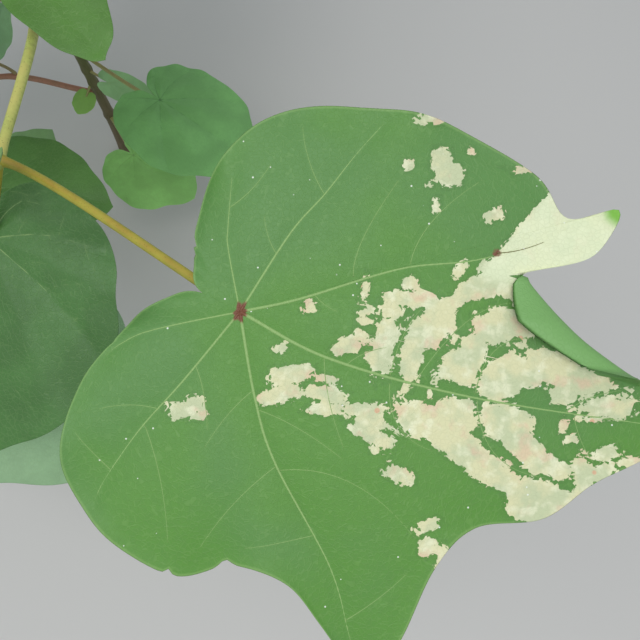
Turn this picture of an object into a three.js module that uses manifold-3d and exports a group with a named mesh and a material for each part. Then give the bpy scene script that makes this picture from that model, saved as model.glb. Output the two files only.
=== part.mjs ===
// A young cotton plant rooted in the ground: one main stem with four side branches, and a crown of
// long-stalked leaves. The largest leaf is the broad three-lobed one in front, on the front branch.
// Millimetres, +Z up. The origin is the middle of the flat cut under the main stem, at ground level.

import * as THREE from 'three';
import { mergeVertices } from 'three/addons/utils/BufferGeometryUtils.js';
import Module from 'manifold-3d';

const wasm = await Module();
wasm.setup();

// Driving sizes of the limbs
const JOINT_GAP = 0.3;
const BRANCH_LEAN = 20;
const STEM_TIP_HEIGHT = 318;
const STEM_SIDES = 10;
const BRANCH_SIDES = 8;
const ROOT_FLARE = 2.2;
const ROOT_FLARE_HEIGHT = 20;

// Driving sizes of the leaves
const PETIOLE_SIDES = 6;
const PETIOLE_STEPS = 6;
const PETIOLE_LEAN = 1.5;
const PETIOLE_LEAVE = 0.16;
const PETIOLE_ARRIVE = 0.3;
const PETIOLE_SAG = 0.07;
const PETIOLE_SINK = 2.2;
const BLADE_RINGS = 3;
const SMALL_BLADE_RINGS = 2;
const SMALL_BLADE = 50;
const BLADE_THICKNESS_SHARE = 1 / 70;
const LEAST_BLADE_THICKNESS = 0.9;
const LENGTHWISE_DROOP = 0.7;
const RING_CROWDING = 1.9;
const MARGIN = 0.999;

const COLOURS = {
  stem: 0x5d6b39,
  branch: 0x9a9a50,
  redBranch: 0x9a7a62,
  leaf: 0x57814a,
  mainLeaf: 0x6b985d,
  youngLeaf: 0x7ba85c,
};

const radians = THREE.MathUtils.degToRad;
const vector = (p) => new THREE.Vector3(p[0], p[1], p[2]);
const mix = THREE.MathUtils.lerp;

// Limbs: each is a smooth curve through a few places, with the radius at its foot and at its tip.
// A branch also has the share of the main stem's length at which it leaves the stem.
const LIMBS = {
  main_stem: {
    path: [[0, 0, 0], [0, 0, 70], [0, 0, 145], [-3, 4, 215], [1, 7, 270], [0, 9, STEM_TIP_HEIGHT]],
    radii: [3.2, 1.2],
    flare: ROOT_FLARE,
    sides: STEM_SIDES,
    steps: 20,
    colour: COLOURS.stem,
  },
  front_branch: {
    leaves: 0.437,
    path: [[12, -30, 172], [28, -66, 206], [41, -98, 226], [41.3, -148, 235.4]],
    radii: [2, 1.4],
    sides: BRANCH_SIDES,
    steps: 14,
    colour: COLOURS.branch,
  },
  left_branch: {
    leaves: 0.2,
    path: [[-48, -4, 82], [-78, -46, 106], [-84, -100, 126], [-80, -138, 140]],
    radii: [1.7, 1],
    sides: BRANCH_SIDES,
    steps: 14,
    colour: COLOURS.redBranch,
  },
  back_branch: {
    leaves: 0.505,
    path: [[-26, 42, 194], [-56, 84, 220], [-72, 116, 246]],
    radii: [1.9, 1],
    sides: BRANCH_SIDES,
    steps: 10,
    colour: COLOURS.branch,
  },
  right_branch: {
    leaves: 0.58,
    path: [[34, 28, 212], [70, 48, 230], [98, 56, 252]],
    radii: [1.8, 1],
    sides: BRANCH_SIDES,
    steps: 10,
    colour: COLOURS.branch,
  },
};

// Blade outlines: reach from the petiole at each angle off the midrib, as shares of the blade's length
const BLADE_ANGLES = [0, 10, 24, 38, 50, 62, 84, 110, 140, 162, 172];
const HEART_REACH = [1, 0.95, 0.88, 0.82, 0.75, 0.68, 0.57, 0.47, 0.34, 0.21, 0.09];
const LOBED_REACH = [1, 0.82, 0.64, 0.66, 0.88, 0.69, 0.58, 0.52, 0.4, 0.27, 0.09];
const SLIT_REACH = 0.05;

// The scorched leaf's own outline, measured in millimetres: angle off the midrib, then reach
const MAIN_LEFT_SIDE = [
  [4, 91.2], [10, 75.5], [19, 65.6], [22.3, 64.3], [23.5, 80], [29.4, 86.7], [30.6, 76.3], [39.6, 72.8],
  [57.9, 61.6], [73.7, 52.9], [91.5, 45.9], [110, 35.6], [129.7, 21.6], [149.5, 14.6], [160, 10.6],
];
const MAIN_RIGHT_SIDE = [
  [6.1, 95.6], [11.7, 88], [20, 82.7], [28.2, 71.7], [37.5, 71.7], [49.2, 81.8], [57.4, 90], [61.2, 72.4],
  [66, 61.5], [76.6, 57.1], [89.7, 61.2], [107.7, 58], [125.2, 52], [142.2, 38.5], [161.7, 23.5],
  [178.9, 15.5], [190, 10.4],
];
const MAIN_LENGTH = 106.4;
const MAIN_SLIT_ANGLE = 165.3;
const MAIN_SLIT_REACH = 3;

// Leaves that show: limb and share of its length, then the blade's base, the blade's tip and its set
const SEEN_LEAVES = [
  { name: 'leaf_scorched', limb: 'front_branch', at: 0.992, base: [111.1, -195.2, 254],
    tip: [214.1, -220.7, 246.2], roll: 17, droop: 0.03, petiole: 1.3, outline: mainOutline() },
  { name: 'leaf_heart', limb: 'main_stem', at: 0.312, base: [48.8, -37.7, 108.7], tip: [94, -68, 101],
    roll: -14, lobing: 0, droop: 0.1, petiole: 1.1 },
  { name: 'leaf_low_bright', limb: 'main_stem', at: 0.13, base: [22, -38, 57], tip: [57, -61.5, 52],
    roll: -4, lobing: 0.35, droop: 0.12, petiole: 0.9 },
  { name: 'leaf_curled', limb: 'main_stem', at: 0.262, base: [13, -8, 82], tip: [38.5, -18, 82],
    roll: 48, lobing: 0, width: 0.5, droop: 0.12, petiole: 0.7 },
  { name: 'leaflet_axil', limb: 'main_stem', at: 0.225, base: [-4.4, -6, 68], tip: [-10, -16, 65],
    roll: 0, lobing: 0, droop: 0.1, petiole: 0.6 },
  { name: 'leaf_fork', limb: 'front_branch', at: 0.46, base: [32.7, -65, 244], tip: [67, -113.2, 236],
    roll: 10, lobing: 0, width: 0.5, droop: 0.1, petiole: 1 },
  { name: 'leaf_left_near', limb: 'front_branch', at: 0.975, base: [27.4, -156.9, 208.2],
    tip: [18.5, -221.5, 181], roll: 0, lobing: 0, droop: 0.08, petiole: 1.2 },
  { name: 'leaf_far_left', limb: 'left_branch', at: 0.2, base: [-58, 0, 99], tip: [-68, 40, 106],
    roll: 0, lobing: 0.2, droop: 0.1, petiole: 0.9 },
  { name: 'leaf_left_small', limb: 'left_branch', at: 0.42, base: [-25.5, -71, 92], tip: [-9, -47, 98],
    roll: 0, lobing: 0.1, droop: 0.1, petiole: 0.8 },
  { name: 'leaf_left_dark', limb: 'left_branch', at: 0.62, base: [-21, -95.4, 127], tip: [35, -102, 122],
    roll: 0, lobing: 0.15, width: 0.82, droop: 0.08, petiole: 1.1 },
  { name: 'leaf_left_pale', limb: 'left_branch', at: 0.88, base: [-5.3, -160.6, 160],
    tip: [38.3, -225.5, 127.6], roll: 0, lobing: 0.1, width: 0.9, droop: 0.08, petiole: 1.2 },
];

// Leaves past the picture's edge, by limb: a run of nodes along it that turn by the same angle each time
const LEAF_RUNS = [
  { name: 'crown_leaf', limb: 'main_stem', count: 7, from: 0.58, to: 0.95, heading: 250, turn: 219,
    petiole: [78, 26], blade: [74, 40], rise: [34, 52], lobing: [0.9, 0.5] },
  { name: 'low_leaf', limb: 'main_stem', count: 2, from: 0.37, to: 0.49, heading: 106, turn: 64,
    petiole: [70, 66], blade: [66, 70], rise: [26, 30], lobing: [0.5, 0.7] },
  { name: 'front_leaf', limb: 'front_branch', count: 1, from: 0.2, to: 0.2, heading: 224, turn: 0,
    petiole: [56, 56], blade: [62, 62], rise: [28, 28], lobing: [0.7, 0.7] },
  { name: 'left_leaf', limb: 'left_branch', count: 2, from: 0.34, to: 0.74, heading: 166, turn: 34,
    petiole: [50, 46], blade: [58, 56], rise: [34, 36], lobing: [0.6, 0.6] },
  { name: 'back_leaf', limb: 'back_branch', count: 3, from: 0.36, to: 0.86, heading: 52, turn: 150,
    petiole: [52, 40], blade: [64, 52], rise: [16, 46], lobing: [0.8, 0.6] },
  { name: 'right_leaf', limb: 'right_branch', count: 3, from: 0.4, to: 0.88, heading: -38, turn: 112,
    petiole: [46, 38], blade: [62, 50], rise: [30, 36], lobing: [0.8, 0.6] },
];
const RUN_DROOP_ANGLE = 14;
const RUN_DROOP = 0.13;
const RUN_PETIOLE_RADIUS = 0.0145;

// Young shoots that end each limb: length, leaves, and the direction they carry on in
const SHOOTS = [
  { name: 'stem_tip_shoot', limb: 'main_stem', length: 17, leaves: 4, blade: 21, heading: 40 },
  { name: 'front_tip_shoot', limb: 'front_branch', length: 15, leaves: 2, blade: 17, heading: 200 },
  { name: 'left_tip_shoot', limb: 'left_branch', length: 16, leaves: 3, blade: 20, heading: 265 },
  { name: 'back_tip_shoot', limb: 'back_branch', length: 16, leaves: 3, blade: 21, heading: 115 },
  { name: 'right_tip_shoot', limb: 'right_branch', length: 16, leaves: 3, blade: 21, heading: 20 },
];
const SHOOT_TURN = 137.5;
const SHOOT_RISE = 62;
const SHOOT_RADII = [0.9, 0.6];
const SHOOT_STEPS = 3;
const SHOOT_LEAF_PLACES = [0.35, 0.95];
const SHOOT_LEAF_RISE = [24, 58];
const SHOOT_LAST_LEAF = 0.62;
const SHOOT_STALK = 0.35;
const SHOOT_STALK_RADIUS = 0.55;
const SHOOT_LOBING = 0.2;
const SHOOT_CUP = -0.35;

// A direction with a compass heading and a rise above the level, both in degrees
function headingVector(heading, rise) {
  const level = Math.cos(radians(rise));
  const turn = radians(heading);
  return new THREE.Vector3(level * Math.cos(turn), level * Math.sin(turn), Math.sin(radians(rise)));
}

// The limb's middle line, which the leaves' nodes are placed on too. A branch's foot is at the stem.
function limbCurve(limb) {
  const path = limb.path.map(vector);
  if (limb.leaves) {
    path.unshift(seatOn(LIMBS.main_stem, limb.leaves, path[0], limb.radii[0], BRANCH_LEAN).start);
  }
  return new THREE.CatmullRomCurve3(path, false, 'catmullrom', 0.5);
}

// The limb's radius at a share of its length and a height, with the flare at the ground
function limbRadius(limb, share, height) {
  const flare = (limb.flare || 0) * Math.exp(-height / ROOT_FLARE_HEIGHT);
  return mix(limb.radii[0], limb.radii[1], share) + flare;
}

// A closed tapering tube: a cylinder whose rings are carried along the curve
function tubeGeometry(curve, steps, sides, radiusAt) {
  const geometry = new THREE.CylinderGeometry(1, 1, 1, sides, steps);
  const frames = curve.computeFrenetFrames(steps, false);
  const centres = Array.from({ length: steps + 1 }, (_, i) => curve.getPointAt(i / steps));
  const place = geometry.attributes.position;
  for (let i = 0; i < place.count; i += 1) {
    const ring = Math.round((place.getY(i) + 0.5) * steps);
    const radius = radiusAt(ring / steps, centres[ring].z);
    const point = centres[ring].clone();
    point.addScaledVector(frames.normals[ring], place.getX(i) * radius);
    point.addScaledVector(frames.binormals[ring], -place.getZ(i) * radius);
    place.setXYZ(i, point.x, point.y, point.z);
  }
  return geometry;
}

// The outline of a common leaf, between a plain heart and a three-lobed blade
function commonOutline(lobing, stride = 1) {
  const every = BLADE_ANGLES.map((angle, i) => [angle, mix(HEART_REACH[i], LOBED_REACH[i], lobing)]);
  const side = every.filter((_, i) => i % stride === 0);
  const right = side.slice(1).reverse().map(([angle, reach]) => [-angle, reach]);
  return [[-180, SLIT_REACH], ...right, ...side, [180, SLIT_REACH]];
}

// The outline of the scorched leaf, from its slit round the right side, the tip and the left side
function mainOutline() {
  const right = MAIN_RIGHT_SIDE.slice().reverse().map(([angle, reach]) => [-angle, reach]);
  const start = [MAIN_SLIT_ANGLE - 360, MAIN_SLIT_REACH];
  const end = [MAIN_SLIT_ANGLE, MAIN_SLIT_REACH];
  const whole = [start, ...right, [0, MAIN_LENGTH], ...MAIN_LEFT_SIDE, end];
  return whole.map(([angle, reach]) => [angle, reach / MAIN_LENGTH]);
}

// The height of a blade at a place on it: it falls along the midrib and off to both sides
function bladeHeight(x, y, length, droop) {
  return -droop * (x * Math.abs(x) * LENGTHWISE_DROOP + y * y) / length;
}

// A thin closed blade: a sphere pressed flat, whose equator is the outline and whose poles are the base
function bladeGeometry(outline, length, width, droop, rings) {
  const thickness = Math.max(LEAST_BLADE_THICKNESS, length * BLADE_THICKNESS_SHARE);
  const spans = outline.length - 1;
  const geometry = new THREE.SphereGeometry(1, spans, 2 * rings).rotateX(Math.PI / 2);
  const place = geometry.attributes.position;
  for (let i = 0; i < place.count; i += 1) {
    const height = THREE.MathUtils.clamp(place.getZ(i), -1, 1);
    const fromPole = 1 - Math.abs(1 - 2 * Math.acos(height) / Math.PI);
    const share = 1 - (1 - fromPole) ** RING_CROWDING;
    const turn = (Math.atan2(place.getY(i), place.getX(i)) / Math.PI + 1) / 2;
    const knot = outline[Math.round(turn * spans)];
    const reach = share * length * knot[1];
    const x = reach * Math.cos(radians(knot[0]));
    const y = reach * Math.sin(radians(knot[0])) * width;
    const side = fromPole > MARGIN ? 0 : Math.sign(height);
    place.setXYZ(i, x, y, bladeHeight(x, y, length, droop) + side * thickness / 2);
  }
  return geometry;
}

// The set of a blade: x along the midrib, z up off the blade, turned about the midrib by the roll
function bladeMatrix(base, tip, roll) {
  const along = tip.clone().sub(base).normalize();
  const up = new THREE.Vector3(0, 0, 1).addScaledVector(along, -along.z).normalize();
  up.applyAxisAngle(along, radians(roll));
  const left = up.clone().cross(along);
  return new THREE.Matrix4().makeBasis(along, left, up).setPosition(base);
}

// The petiole's line: out of its limb, then over to the blade's base, which it meets from below
function petioleCurve(start, outward, base, matrix) {
  const reach = start.distanceTo(base);
  const along = new THREE.Vector3().setFromMatrixColumn(matrix, 0);
  const up = new THREE.Vector3().setFromMatrixColumn(matrix, 2);
  const leave = start.clone().addScaledVector(outward, reach * PETIOLE_LEAVE);
  const arrive = base.clone().lerp(start, PETIOLE_ARRIVE).addScaledVector(up, -reach * PETIOLE_SAG);
  const end = base.clone().addScaledVector(along, PETIOLE_SINK);
  return new THREE.CubicBezierCurve3(start, leave, arrive, end);
}

// Where a petiole or a branch starts: a hair off the limb's skin, on the side that faces its target.
// With no lean it leaves square to the limb, and the more it leans the straighter it makes for the target.
function seatOn(limb, at, target, radius, lean) {
  const curve = limbCurve(limb);
  const joint = curve.getPointAt(at);
  const line = curve.getTangentAt(at);
  const toTarget = target.clone().sub(joint).normalize();
  const across = toTarget.clone().addScaledVector(line, -toTarget.dot(line)).normalize();
  const outward = across.clone().addScaledVector(toTarget, lean).normalize();
  const clear = limbRadius(limb, at, joint.z) + JOINT_GAP + radius * Math.abs(outward.dot(line));
  return { start: joint.addScaledVector(across, clear), outward };
}

// Turns a geometry into a solid with its shared corners merged
function solidOf(geometry) {
  geometry.deleteAttribute('normal');
  geometry.deleteAttribute('uv');
  const merged = mergeVertices(geometry, 1e-3);
  return new wasm.Manifold(new wasm.Mesh({
    numProp: 3,
    vertProperties: new Float32Array(merged.attributes.position.array),
    triVerts: new Uint32Array(merged.index.array),
  }));
}

// Joins closed pieces that run into each other
function joined(geometries) {
  const whole = geometries.map(solidOf).reduce((sum, piece) => sum.add(piece));
  const mesh = whole.getMesh();
  const geometry = new THREE.BufferGeometry();
  geometry.setAttribute('position', new THREE.BufferAttribute(mesh.vertProperties, 3));
  geometry.setIndex(new THREE.BufferAttribute(mesh.triVerts, 1));
  return geometry;
}

// One leaf with its petiole, as a closed solid
function leafGeometry(leaf) {
  const base = vector(leaf.base);
  const tip = vector(leaf.tip);
  const length = base.distanceTo(tip);
  const matrix = bladeMatrix(base, tip, leaf.roll);
  const { start, outward } = seatOn(LIMBS[leaf.limb], leaf.at, base, leaf.petiole, PETIOLE_LEAN);
  const curve = petioleCurve(start, outward, base, matrix);
  const petiole = tubeGeometry(curve, PETIOLE_STEPS, PETIOLE_SIDES, () => leaf.petiole);
  const outline = leaf.outline || commonOutline(leaf.lobing);
  const rings = length > SMALL_BLADE ? BLADE_RINGS : SMALL_BLADE_RINGS;
  const blade = bladeGeometry(outline, length, leaf.width || 1, leaf.droop, rings);
  return joined([petiole, blade.applyMatrix4(matrix)]);
}

// The leaves of a run: each node's heading turns on, and its sizes pass from the first pair to the last
function runLeaves(run) {
  const curve = limbCurve(LIMBS[run.limb]);
  return Array.from({ length: run.count }, (_, i) => {
    const share = run.count > 1 ? i / (run.count - 1) : 0;
    const at = mix(run.from, run.to, share);
    const heading = run.heading + run.turn * i;
    const length = mix(...run.blade, share);
    const stalk = headingVector(heading, mix(...run.rise, share)).multiplyScalar(mix(...run.petiole, share));
    const base = curve.getPointAt(at).add(stalk);
    const tip = base.clone().addScaledVector(headingVector(heading, -RUN_DROOP_ANGLE), length);
    return {
      name: `${run.name}_${i + 1}`,
      limb: run.limb,
      at,
      base: base.toArray(),
      tip: tip.toArray(),
      roll: 0,
      lobing: mix(...run.lobing, share),
      droop: RUN_DROOP,
      petiole: length * RUN_PETIOLE_RADIUS,
    };
  });
}

// A young shoot: a short stem that carries on from its limb, with small leaves turning round it
function shootGeometry(shoot) {
  const curve = limbCurve(LIMBS[shoot.limb]);
  const line = curve.getTangentAt(1);
  const start = curve.getPointAt(1).addScaledVector(line, JOINT_GAP);
  const middle = start.clone().addScaledVector(line, shoot.length / 2);
  const end = middle.clone().addScaledVector(headingVector(shoot.heading, SHOOT_RISE), shoot.length / 2);
  const stemLine = new THREE.QuadraticBezierCurve3(start, middle, end);
  const radiusAt = (share) => mix(...SHOOT_RADII, share);
  const pieces = [tubeGeometry(stemLine, SHOOT_STEPS, PETIOLE_SIDES, radiusAt)];
  for (let i = 0; i < shoot.leaves; i += 1) {
    const share = (i + 1) / shoot.leaves;
    const joint = stemLine.getPoint(mix(...SHOOT_LEAF_PLACES, share));
    const length = shoot.blade * mix(1, SHOOT_LAST_LEAF, share);
    const out = headingVector(shoot.heading + SHOOT_TURN * (i + 1), mix(...SHOOT_LEAF_RISE, share));
    const base = joint.clone().addScaledVector(out, length * SHOOT_STALK);
    const tip = base.clone().addScaledVector(out, length);
    const stalk = new THREE.LineCurve3(joint, base.clone().addScaledVector(out, 1));
    pieces.push(tubeGeometry(stalk, 1, PETIOLE_SIDES, () => SHOOT_STALK_RADIUS));
    const blade = bladeGeometry(commonOutline(SHOOT_LOBING, 2), length, 1, SHOOT_CUP, SMALL_BLADE_RINGS);
    pieces.push(blade.applyMatrix4(bladeMatrix(base, tip, 0)));
  }
  return joined(pieces);
}

// A named node with a material of its own
function node(name, geometry, colour, roughness) {
  const material = new THREE.MeshStandardMaterial({ color: colour, roughness, metalness: 0 });
  const mesh = new THREE.Mesh(geometry, material);
  mesh.name = name;
  return mesh;
}

const plant = new THREE.Group();
plant.name = 'cotton_plant';

for (const [name, limb] of Object.entries(LIMBS)) {
  const radiusAt = (share, height) => limbRadius(limb, share, height);
  const geometry = tubeGeometry(limbCurve(limb), limb.steps, limb.sides, radiusAt);
  plant.add(node(name, geometry, limb.colour, 0.6));
}

for (const leaf of [...SEEN_LEAVES, ...LEAF_RUNS.flatMap(runLeaves)]) {
  plant.add(node(leaf.name, leafGeometry(leaf), leaf.outline ? COLOURS.mainLeaf : COLOURS.leaf, 0.55));
}

for (const shoot of SHOOTS) {
  plant.add(node(shoot.name, shootGeometry(shoot), COLOURS.youngLeaf, 0.55));
}

export default plant;
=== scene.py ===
# %% [markdown]
# A young cotton plant: one main stem, four boughs, long-stalked leaves and the leaf with the bleached
# patches in front. The CAD model is the fixed frame. Every leaf is grown again here by the CAD model's
# own rule, so each finished leaf lies where its plain solid lies, and the solids are then hidden.

import bpy
import numpy as np
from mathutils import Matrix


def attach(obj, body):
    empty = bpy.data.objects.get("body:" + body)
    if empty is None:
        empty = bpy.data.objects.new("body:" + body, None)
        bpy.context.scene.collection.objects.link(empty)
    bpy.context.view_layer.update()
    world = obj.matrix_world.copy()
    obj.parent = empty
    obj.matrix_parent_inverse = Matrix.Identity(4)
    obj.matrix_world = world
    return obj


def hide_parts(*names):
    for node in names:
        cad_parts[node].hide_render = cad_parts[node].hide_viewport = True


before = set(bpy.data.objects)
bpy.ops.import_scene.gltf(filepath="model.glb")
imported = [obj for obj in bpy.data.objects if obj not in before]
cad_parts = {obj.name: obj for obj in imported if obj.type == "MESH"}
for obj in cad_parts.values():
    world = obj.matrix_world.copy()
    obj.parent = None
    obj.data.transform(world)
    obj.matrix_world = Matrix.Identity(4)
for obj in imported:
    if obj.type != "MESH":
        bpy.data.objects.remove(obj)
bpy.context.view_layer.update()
MM = 0.001

# %% [markdown]
# The camera looks down on the plant from just above its front leaf, nearly straight down. A camera could
# be aimed by hand, but here its place, its tilt and its lens come from the picture's own perspective, so
# that what is drawn can be laid over what was seen.

# %% Camera
PICTURE_WIDTH = 640
FOCAL_LENGTH_IN_PIXELS = 670
SENSOR_WIDTH = 36
CAMERA_PLACE = (0.129, -0.2408, 0.3969)
CAMERA_TILT = 17
NEAREST_SEEN = 0.005


def add_object(name, data):
    """A new object that shows some data, put in the scene."""
    made = bpy.data.objects.new(name, data)
    bpy.context.scene.collection.objects.link(made)
    return made


camera_data = bpy.data.cameras.new("camera")
camera_data.sensor_width = SENSOR_WIDTH
camera_data.lens = SENSOR_WIDTH * FOCAL_LENGTH_IN_PIXELS / PICTURE_WIDTH
camera_data.clip_start = NEAREST_SEEN
camera = add_object("camera", camera_data)
camera.location = CAMERA_PLACE
camera.rotation_euler = (np.radians(CAMERA_TILT), 0, 0)
bpy.context.scene.camera = camera
print("lens in mm:", round(camera_data.lens, 2))

# %% [markdown]
# The plant stands on a plain pale floor under a wide soft light, as under a bright overcast sky. One big
# area light gives soft shadows, a pale world fills them, and a weak light behind the camera reaches the
# lower leaves. The lights are weighed so that a level surface shows about its own base colour, and the
# view adds no film curve to it.

# %% Floor and light
FLOOR_HALF = 2.0
FLOOR_DROP = 0.1 * MM
FLOOR_COLOUR = (0.62, 0.6, 0.57, 1)
FLOOR_ROUGHNESS = 0.9
SKY_COLOUR = (0.86, 0.93, 1.0, 1)
SKY_STRENGTH = 0.58
SUN_POWER = 6
SUN_SIZE = 1.1
SUN_PLACE = (-0.25, -0.5, 1.5)
SUN_TURN = (-18, -10, 0)
FILL_POWER = 1.1
FILL_SIZE = 0.35
FILL_BEHIND_CAMERA = 0.45


def new_material(name):
    """A new material and its principled shader."""
    material = bpy.data.materials.new(name)
    material.use_nodes = True
    return material, material.node_tree.nodes["Principled BSDF"]


floor_mesh = bpy.data.meshes.new("floor")
corner_signs = ((-1, -1), (1, -1), (1, 1), (-1, 1))
floor_corners = [(x * FLOOR_HALF, y * FLOOR_HALF, -FLOOR_DROP) for x, y in corner_signs]
floor_mesh.from_pydata(floor_corners, [], [(0, 1, 2, 3)])
floor = add_object("floor", floor_mesh)
floor_material, floor_shader = new_material("pale_floor")
floor_shader.inputs["Base Color"].default_value = FLOOR_COLOUR
floor_shader.inputs["Roughness"].default_value = FLOOR_ROUGHNESS
floor_mesh.materials.append(floor_material)

world = bpy.data.worlds.new("sky")
world.use_nodes = True
sky = world.node_tree.nodes["Background"]
sky.inputs["Color"].default_value = SKY_COLOUR
sky.inputs["Strength"].default_value = SKY_STRENGTH
bpy.context.scene.world = world
bpy.context.scene.view_settings.view_transform = "Standard"

tilt = np.radians(CAMERA_TILT)
fill_place = np.array(CAMERA_PLACE) + FILL_BEHIND_CAMERA * np.array([0, -np.sin(tilt), np.cos(tilt)])
for name, power, size, place, turn in (
    ("soft_sun", SUN_POWER, SUN_SIZE, SUN_PLACE, SUN_TURN),
    ("fill", FILL_POWER, FILL_SIZE, fill_place, (CAMERA_TILT, 0, 0)),
):
    light_data = bpy.data.lights.new(name, "AREA")
    light_data.energy = power
    light_data.size = size
    light = add_object(name, light_data)
    light.location = place
    light.rotation_euler = np.radians(turn)
    print(name, "gives", power, "W from", np.round(place, 2))

# %% [markdown]
# Every stalk and bough of the plant is a line with a thickness. Blender's curve objects could draw them,
# but the relief of the bark and the swollen ends of the leaf stalks need every point, so the lines are
# worked out here as smooth curves and measured by their length.

# %% Lines
LINE_SAMPLES = 201
HAIR = 1e-4


def unit(v):
    """A vector, or each row of an array of vectors, divided by its own length."""
    return v / np.linalg.norm(v, axis=-1, keepdims=True)


def smooth_line(points):
    """A line through every point. On each span it is the cubic whose slope at a point is half the step
    from the point before it to the point after it. It is given as a function of t from 0 to 1."""
    p = np.array(points, float)
    padded = np.vstack([2 * p[0] - p[1], p, 2 * p[-1] - p[-2]])
    spans = len(p) - 1

    def at(t):
        place = np.clip(np.asarray(t, float), 0, 1) * spans
        span = np.minimum(place.astype(int), spans - 1)
        w = (place - span)[..., None]
        before, start, end, after = (padded[span + i] for i in range(4))
        first, last = (end - before) / 2, (after - start) / 2
        bend = 3 * (end - start) - 2 * first - last
        return start + first * w + bend * w**2 + (2 * (start - end) + first + last) * w**3

    return at


def bezier(*points):
    """The line of a Bezier curve: a sum of its points, each weighed by its Bernstein polynomial."""
    p = np.array(points, float)
    degree = len(p) - 1
    choose = np.array([1, 2, 1] if degree == 2 else [1, 3, 3, 1])
    power = np.arange(degree + 1)

    def at(t):
        t = np.asarray(t, float)[..., None]
        return (choose * t**power * (1 - t) ** (degree - power)) @ p

    return at


def by_length(line):
    """The same line with its share measured along its length, and that length."""
    t = np.linspace(0, 1, LINE_SAMPLES)
    steps = np.linalg.norm(np.diff(line(t), axis=0), axis=1)
    travelled = np.concatenate([[0], np.cumsum(steps)])
    return (lambda share: line(np.interp(share, travelled / travelled[-1], t))), travelled[-1]


def direction(line, share):
    """The unit direction of a line: the step between two places just before and just after the share."""
    return unit(line(min(share + HAIR, 1)) - line(max(share - HAIR, 0)))


def headed(heading, rise):
    """A direction with a compass heading and a rise above the level, in degrees."""
    turn, lift = np.radians([heading, rise])
    return np.array([np.cos(lift) * np.cos(turn), np.cos(lift) * np.sin(turn), np.sin(lift)])


# %% [markdown]
# The limbs of the plant in millimetres, from the CAD model: the places that each limb passes, its radius
# at the foot and at the tip, and for a bough the share of the main stem's length at which it leaves the
# stem.

# %% Limbs
JOINT_GAP = 0.3
BRANCH_LEAN = 20
ROOT_FLARE = 2.2
ROOT_FLARE_HEIGHT = 20
LIMBS = {
    "main_stem": {
        "path": [[0, 0, 0], [0, 0, 70], [0, 0, 145], [-3, 4, 215], [1, 7, 270], [0, 9, 318]],
        "radii": (3.2, 1.2),
        "flare": ROOT_FLARE,
    },
    "front_branch": {
        "leaves": 0.437,
        "path": [[12, -30, 172], [28, -66, 206], [41, -98, 226], [41.3, -148, 235.4]],
        "radii": (2, 1.4),
    },
    "left_branch": {
        "leaves": 0.2,
        "path": [[-48, -4, 82], [-78, -46, 106], [-84, -100, 126], [-80, -138, 140]],
        "radii": (1.7, 1),
    },
    "back_branch": {
        "leaves": 0.505,
        "path": [[-26, 42, 194], [-56, 84, 220], [-72, 116, 246]],
        "radii": (1.9, 1),
    },
    "right_branch": {
        "leaves": 0.58,
        "path": [[34, 28, 212], [70, 48, 230], [98, 56, 252]],
        "radii": (1.8, 1),
    },
}


def between(pair, share):
    """A value that passes evenly from the first of a pair to the second."""
    return pair[0] + (pair[1] - pair[0]) * share


def limb_radius(limb, share, height):
    """A straight taper from foot to tip, and at the ground a flare that dies away with height."""
    return between(limb["radii"], share) + limb.get("flare", 0) * np.exp(-height / ROOT_FLARE_HEIGHT)


def seat_on(limb, at, target, radius, lean):
    """Where a stalk leaves a limb: a hair off its skin on the side that faces the target, and which way."""
    joint = limb["line"](at)
    along = direction(limb["line"], at)
    toward = unit(np.array(target, float) - joint)
    across = unit(toward - along * (toward @ along))
    outward = unit(across + lean * toward)
    clear = limb_radius(limb, at, joint[2]) + JOINT_GAP + radius * abs(outward @ along)
    return joint + across * clear, outward


for limb_name, limb in LIMBS.items():
    path = [np.array(p, float) for p in limb["path"]]
    if "leaves" in limb:
        foot, _ = seat_on(LIMBS["main_stem"], limb["leaves"], path[0], limb["radii"][0], BRANCH_LEAN)
        path.insert(0, foot)
    limb["line"], limb["length"] = by_length(smooth_line(path))
    limb["nodes"] = []
    print(limb_name, "is", round(limb["length"]), "mm long")

# %% [markdown]
# The leaves, also from the CAD model. The leaves that the picture shows are placed one by one: limb,
# share of the limb's length, base and tip of the blade. The others follow from their limb, turning by a
# steady angle from node to node, as a cotton plant's leaves do.

# %% Leaves
STEM, FRONT, LEFT, BACK, RIGHT = LIMBS


def records(fields, rows):
    """A table as one dictionary for each of its rows."""
    return [dict(zip(fields.split(), row)) for row in rows]


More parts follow.
